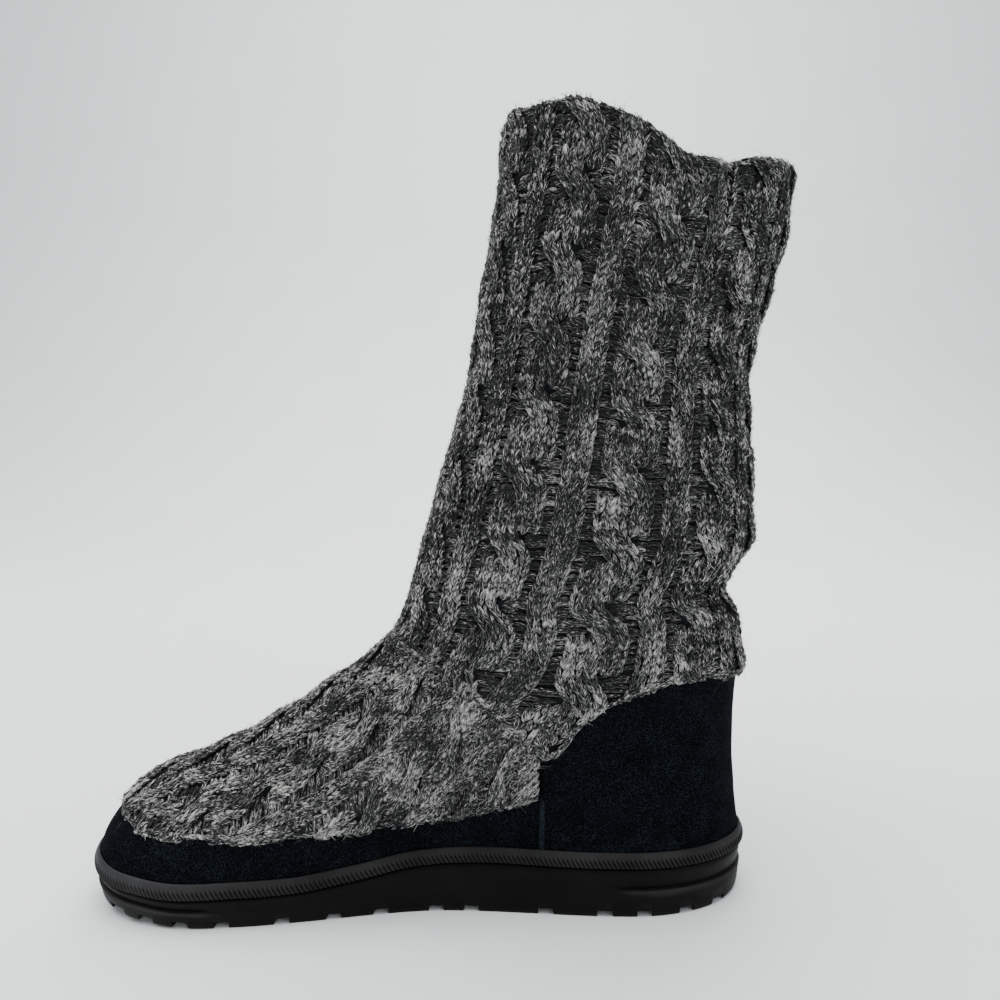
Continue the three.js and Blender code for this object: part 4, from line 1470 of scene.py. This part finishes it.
class BOOT_OT_sole(bpy.types.Operator):
    """Moulds the outsole: a stepped side, and a tread cut right across by bent grooves"""

    bl_idname = "boot.sole"
    bl_label = "Outsole"

    def execute(self, context):
        material = bpy.data.materials["Moulded rubber"]
        fine = np.linspace(0, 0.5, 600)
        rim = side_point(fine, SIDE_DRAFT)
        bend = GROOVE_BEND / (BALL_WIDTH / 2)
        centre_line = rim[:, 0] - bend * np.abs(rim[:, 1])
        grooves = HEEL_REACH - np.array(GROOVE_PLACES) * FOOT_LENGTH
        half_grooves = (GROOVE_WIDTH / 2, GROOVE_WIDTH / 2 + GROOVE_DRAFT)
        groove_walls = [grooves + side * half for side in (-1, 1) for half in half_grooves]
        low, high = centre_line.min(), centre_line.max()
        smooth = (low + high) / 2 + (high - low) / 2 * np.cos(np.linspace(0, math.pi, 170))
        stations = np.sort(np.concatenate([smooth, *groove_walls]))[::-1]
        stations = stations[(stations <= high) & (stations >= low)]
        off_groove = np.min(np.abs(stations[:, None] - grooves), axis=1)
        depth = np.where(off_groove < GROOVE_WIDTH / 2 + GROOVE_DRAFT / 3, GROOVE_DEPTH, 0.0)
        order = np.argsort(centre_line)
        inner_turn = np.interp(stations, centre_line[order], fine[order])
        turns = np.stack([inner_turn, 1 - inner_turn])[:, :, None]
        edge_z = sole_edge_at(turns)
        rim_x = side_point(turns, SIDE_DRAFT)[..., 0]
        bottom = underside(rim_x)
        ends = smooth_step((np.abs(length_share(rim_x) - 0.5) - BUMPER_START) / BUMPER_BLEND)
        ledge = bottom + (edge_z - bottom) * BUMPER_SHARE
        lowest = bottom + depth[None, :, None]
        # How far each ring of the side is drawn in, and its height: the ends step out over the ledge
        profile = [
            (0.0, edge_z),
            (0.1 * MM, edge_z - 0.25 * (edge_z - ledge)),
            (0.35 * MM * ends + 0.3 * MM, ledge + 2.2 * BUMPER_STEP),
            (BUMPER_STEP * 1.5 * ends + 0.1 * MM, ledge + BUMPER_STEP),
            (BUMPER_STEP * 1.6 * ends, ledge + BUMPER_STEP * 0.45),
            (BUMPER_STEP * ends * 0.3, ledge + BUMPER_STEP * 0.2),
            (0.0, ledge),
            (SIDE_DRAFT * 0.25, ledge - 0.5 * (ledge - bottom - GROOVE_DEPTH)),
            (SIDE_DRAFT * 0.45, bottom + GROOVE_DEPTH + 0.02 * MM),
            (SIDE_DRAFT * 0.7, np.maximum(lowest, bottom + GROOVE_DEPTH * 0.3)),
            (SIDE_DRAFT, lowest),
        ]
        # Painted shade and highlight: the step's underside is painted darker as shade, and the ledge's lip
        # lighter as a highlight
        ring_painted_light_and_shade = np.zeros(len(profile))
        ring_painted_light_and_shade[3:5] = -0.15
        ring_painted_light_and_shade[5:7] = 0.35
        rings = []
        for inward, height in profile:
            ring = side_point(turns, inward)
            ring[..., 2] = height
            rings.append(ring)
        left, right = np.concatenate(rings, axis=2)
        across = np.linspace(0, 1, 18)[None, 1:-1, None]
        low_left, low_right = left[:, -1:], right[:, -1:]
        tread = low_left + (low_right - low_left) * across
        rim_y = np.where(across[..., 0] < 0.5, np.abs(low_left[..., 1]), np.abs(low_right[..., 1]))
        tread[..., 0] -= bend * (np.abs(tread[..., 1]) - rim_y)
        tread[..., 2] = underside(tread[..., 0]) + depth[:, None]
        top = right[:, :1] + (left[:, :1] - right[:, :1]) * across[:, ::3]
        loop = np.concatenate([left, tread, right[:, ::-1], top], axis=1)
        faces = [grid_faces(*loop.shape[:2], round_columns=True)]
        shade = np.concatenate([
            ends[0] * ring_painted_light_and_shade, np.zeros(tread.shape[:2]), ends[1] * ring_painted_light_and_shade[::-1],
            np.zeros(top.shape[:2]),
        ], axis=1)
        piece = mesh_piece("sole_block", loop, faces, material, shade=shade)
        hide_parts("outsole")
        return {"FINISHED"}


class BOOT_OT_insole(bpy.types.Operator):
    """Lays the felt insole on the sole, inside the foot's wall"""

    bl_idname = "boot.insole"
    bl_label = "Felt insole"

    def execute(self, context):
        material = felt_material(context.scene.boot_knit)
        turn = np.linspace(0.002, 0.498, 120)[:, None]
        across = np.linspace(-1, 1, 20)[None, :]
        sides = []
        for side in (turn, 1 - turn):
            height = sole_edge_at(side) + CLEARANCE
            sides.append([
                ring_point(side, height + INSOLE_THICKNESS * share, -KNIT_WALL - CLEARANCE * 3)
                for share in (0, 0.5, 0.85, 1)
            ])
        left = np.concatenate(sides[0], axis=1)
        right = np.concatenate(sides[1], axis=1)[:, ::-1]
        share = ((across + 1) / 2)[..., None]
        top = left[:, -1:] + (right[:, :1] - left[:, -1:]) * share[:, 1:-1]
        top[..., 2] += INSOLE_CROWN * (1 - across[:, 1:-1] ** 4)
        bottom = right[:, -1:] + (left[:, :1] - right[:, -1:]) * share[:, 1:-1]
        loop = np.concatenate([left, top, right, bottom], axis=1)
        faces = [grid_faces(*loop.shape[:2], round_columns=True)]
        piece = mesh_piece("felt_insole", loop, faces, material)
        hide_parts("insole")
        return {"FINISHED"}


# The camera stands before the inner side, level with the boot's middle, and looks down a little. Its
# dip is in degrees, its lens and sensor in millimetres.
CAMERA_PLACE = (-0.058, -0.323, 0.178)
CAMERA_DIP = 3.8
CAMERA_LENS = 28.8
CAMERA_SENSOR = 36.0

# The studio's paper lies flat from its front to its bend, bends up in a quarter of a circle and rises
PAPER_FRONT = -3.0
PAPER_BEND = 0.9
PAPER_RADIUS = 1.5
PAPER_HEIGHT = 3.2
PAPER_HALF_WIDTH = 4


class BOOT_OT_stage(bpy.types.Operator):
    """Sets up the pale floor, the soft lights and the camera at the photograph's angle"""

    bl_idname = "boot.stage"
    bl_label = "Studio"

    def execute(self, context):
        settings = context.scene.boot_stage
        material, tree = new_material("Pale studio paper")
        place = add_node(tree, "ShaderNodeTexCoord")
        mottle = add_node(tree, "ShaderNodeTexNoise", {"Vector": place.outputs["Object"], "Scale": 6.0})
        colour = add_node(
            tree, "ShaderNodeValToRGB", {"Fac": mottle.outputs["Fac"]},
            stops=[(0.0, settings.floor), (1.0, settings.paper)],
        )
        close_material(tree, {"Base Color": colour.outputs["Color"], "Roughness": 0.8})
        sweep = np.linspace(0, math.pi / 2, 40)
        bend_y = PAPER_BEND + PAPER_RADIUS * np.sin(sweep)
        y = np.concatenate([[PAPER_FRONT], bend_y, [PAPER_BEND + PAPER_RADIUS]])
        z = np.concatenate([[0.0], PAPER_RADIUS - PAPER_RADIUS * np.cos(sweep), [PAPER_HEIGHT]])
        x = np.linspace(-PAPER_HALF_WIDTH, PAPER_HALF_WIDTH, 3)
        points = np.stack(np.broadcast_arrays(x[:, None], y[None, :], z[None, :]), axis=-1).reshape(-1, 3)
        mesh = bpy.data.meshes.new("studio_paper")
        mesh.from_pydata(points.tolist(), [], grid_faces(len(x), len(y)).tolist())
        mesh.shade_smooth()
        mesh.materials.append(material)
        floor = bpy.data.objects.new("studio_paper", mesh)
        context.scene.collection.objects.link(floor)

        boot, paper = Vector((-0.06, 0, 0.14)), Vector((0, 2.4, 0.9))
        # Name, place, size, power and target of each area light
        lights = [
            ("key", (-0.45, -0.25, 1.6), 1.4, settings.key, boot),
            ("fill", (0.9, -1.2, 0.8), 1.4, settings.fill, boot),
            ("back", (0.3, 1.0, 1.5), 1.2, settings.fill * 1.5, boot),
            ("paper light", (0, 0.7, 1.9), 1.8, settings.key * 1.3, paper),
        ]
        for name, place, size, power, target in lights:
            data = bpy.data.lights.new(name, "AREA")
            data.size = size
            data.energy = power
            lamp = bpy.data.objects.new(name, data)
            lamp.location = place
            lamp.rotation_euler = (target - Vector(place)).to_track_quat("-Z", "Y").to_euler()
            context.scene.collection.objects.link(lamp)
        world = bpy.data.worlds.new("soft studio")
        world.use_nodes = True
        background = world.node_tree.nodes["Background"]
        background.inputs["Color"].default_value = srgb(settings.sky)
        background.inputs["Strength"].default_value = settings.sky_strength
        context.scene.world = world

        camera_data = bpy.data.cameras.new("camera")
        camera_data.sensor_width = CAMERA_SENSOR
        camera_data.lens = CAMERA_LENS
        camera_data.dof.use_dof = False
        camera = bpy.data.objects.new("camera", camera_data)
        camera.location = CAMERA_PLACE
        camera.rotation_euler = (math.radians(90 - CAMERA_DIP), 0, 0)
        context.scene.collection.objects.link(camera)
        context.scene.camera = camera
        return {"FINISHED"}


class BOOT_PT_panel(bpy.types.Panel):
    """Lists the boot's pieces"""

    bl_idname = "BOOT_PT_panel"
    bl_label = "Boot"
    bl_space_type = "VIEW_3D"
    bl_region_type = "UI"
    bl_category = "Boot"

    def draw(self, context):
        for operator in OPERATORS:
            self.layout.operator(operator.bl_idname)


SETTINGS = {
    "boot_knit": BootKnitSettings,
    "boot_suede": BootSuedeSettings,
    "boot_rubber": BootRubberSettings,
    "boot_stage": BootStageSettings,
}
OPERATORS = [
    BOOT_OT_walls,
    BOOT_OT_leg_stitches,
    BOOT_OT_vamp_stitches,
    BOOT_OT_hairs,
    BOOT_OT_suede,
    BOOT_OT_welt,
    BOOT_OT_sole,
    BOOT_OT_insole,
    BOOT_OT_stage,
]


def register():
    for kind in (*SETTINGS.values(), *OPERATORS, BOOT_PT_panel):
        bpy.utils.register_class(kind)
    for name, kind in SETTINGS.items():
        setattr(bpy.types.Scene, name, bpy.props.PointerProperty(type=kind))


def unregister():
    for name in SETTINGS:
        delattr(bpy.types.Scene, name)
    for kind in (BOOT_PT_panel, *reversed(OPERATORS), *reversed(SETTINGS.values())):
        bpy.utils.unregister_class(kind)


def main():
    """Builds every piece in order."""
    register()
    for operator in OPERATORS:
        getattr(bpy.ops.boot, operator.bl_idname.split(".")[1])()


if __name__ == "__main__":
    main()
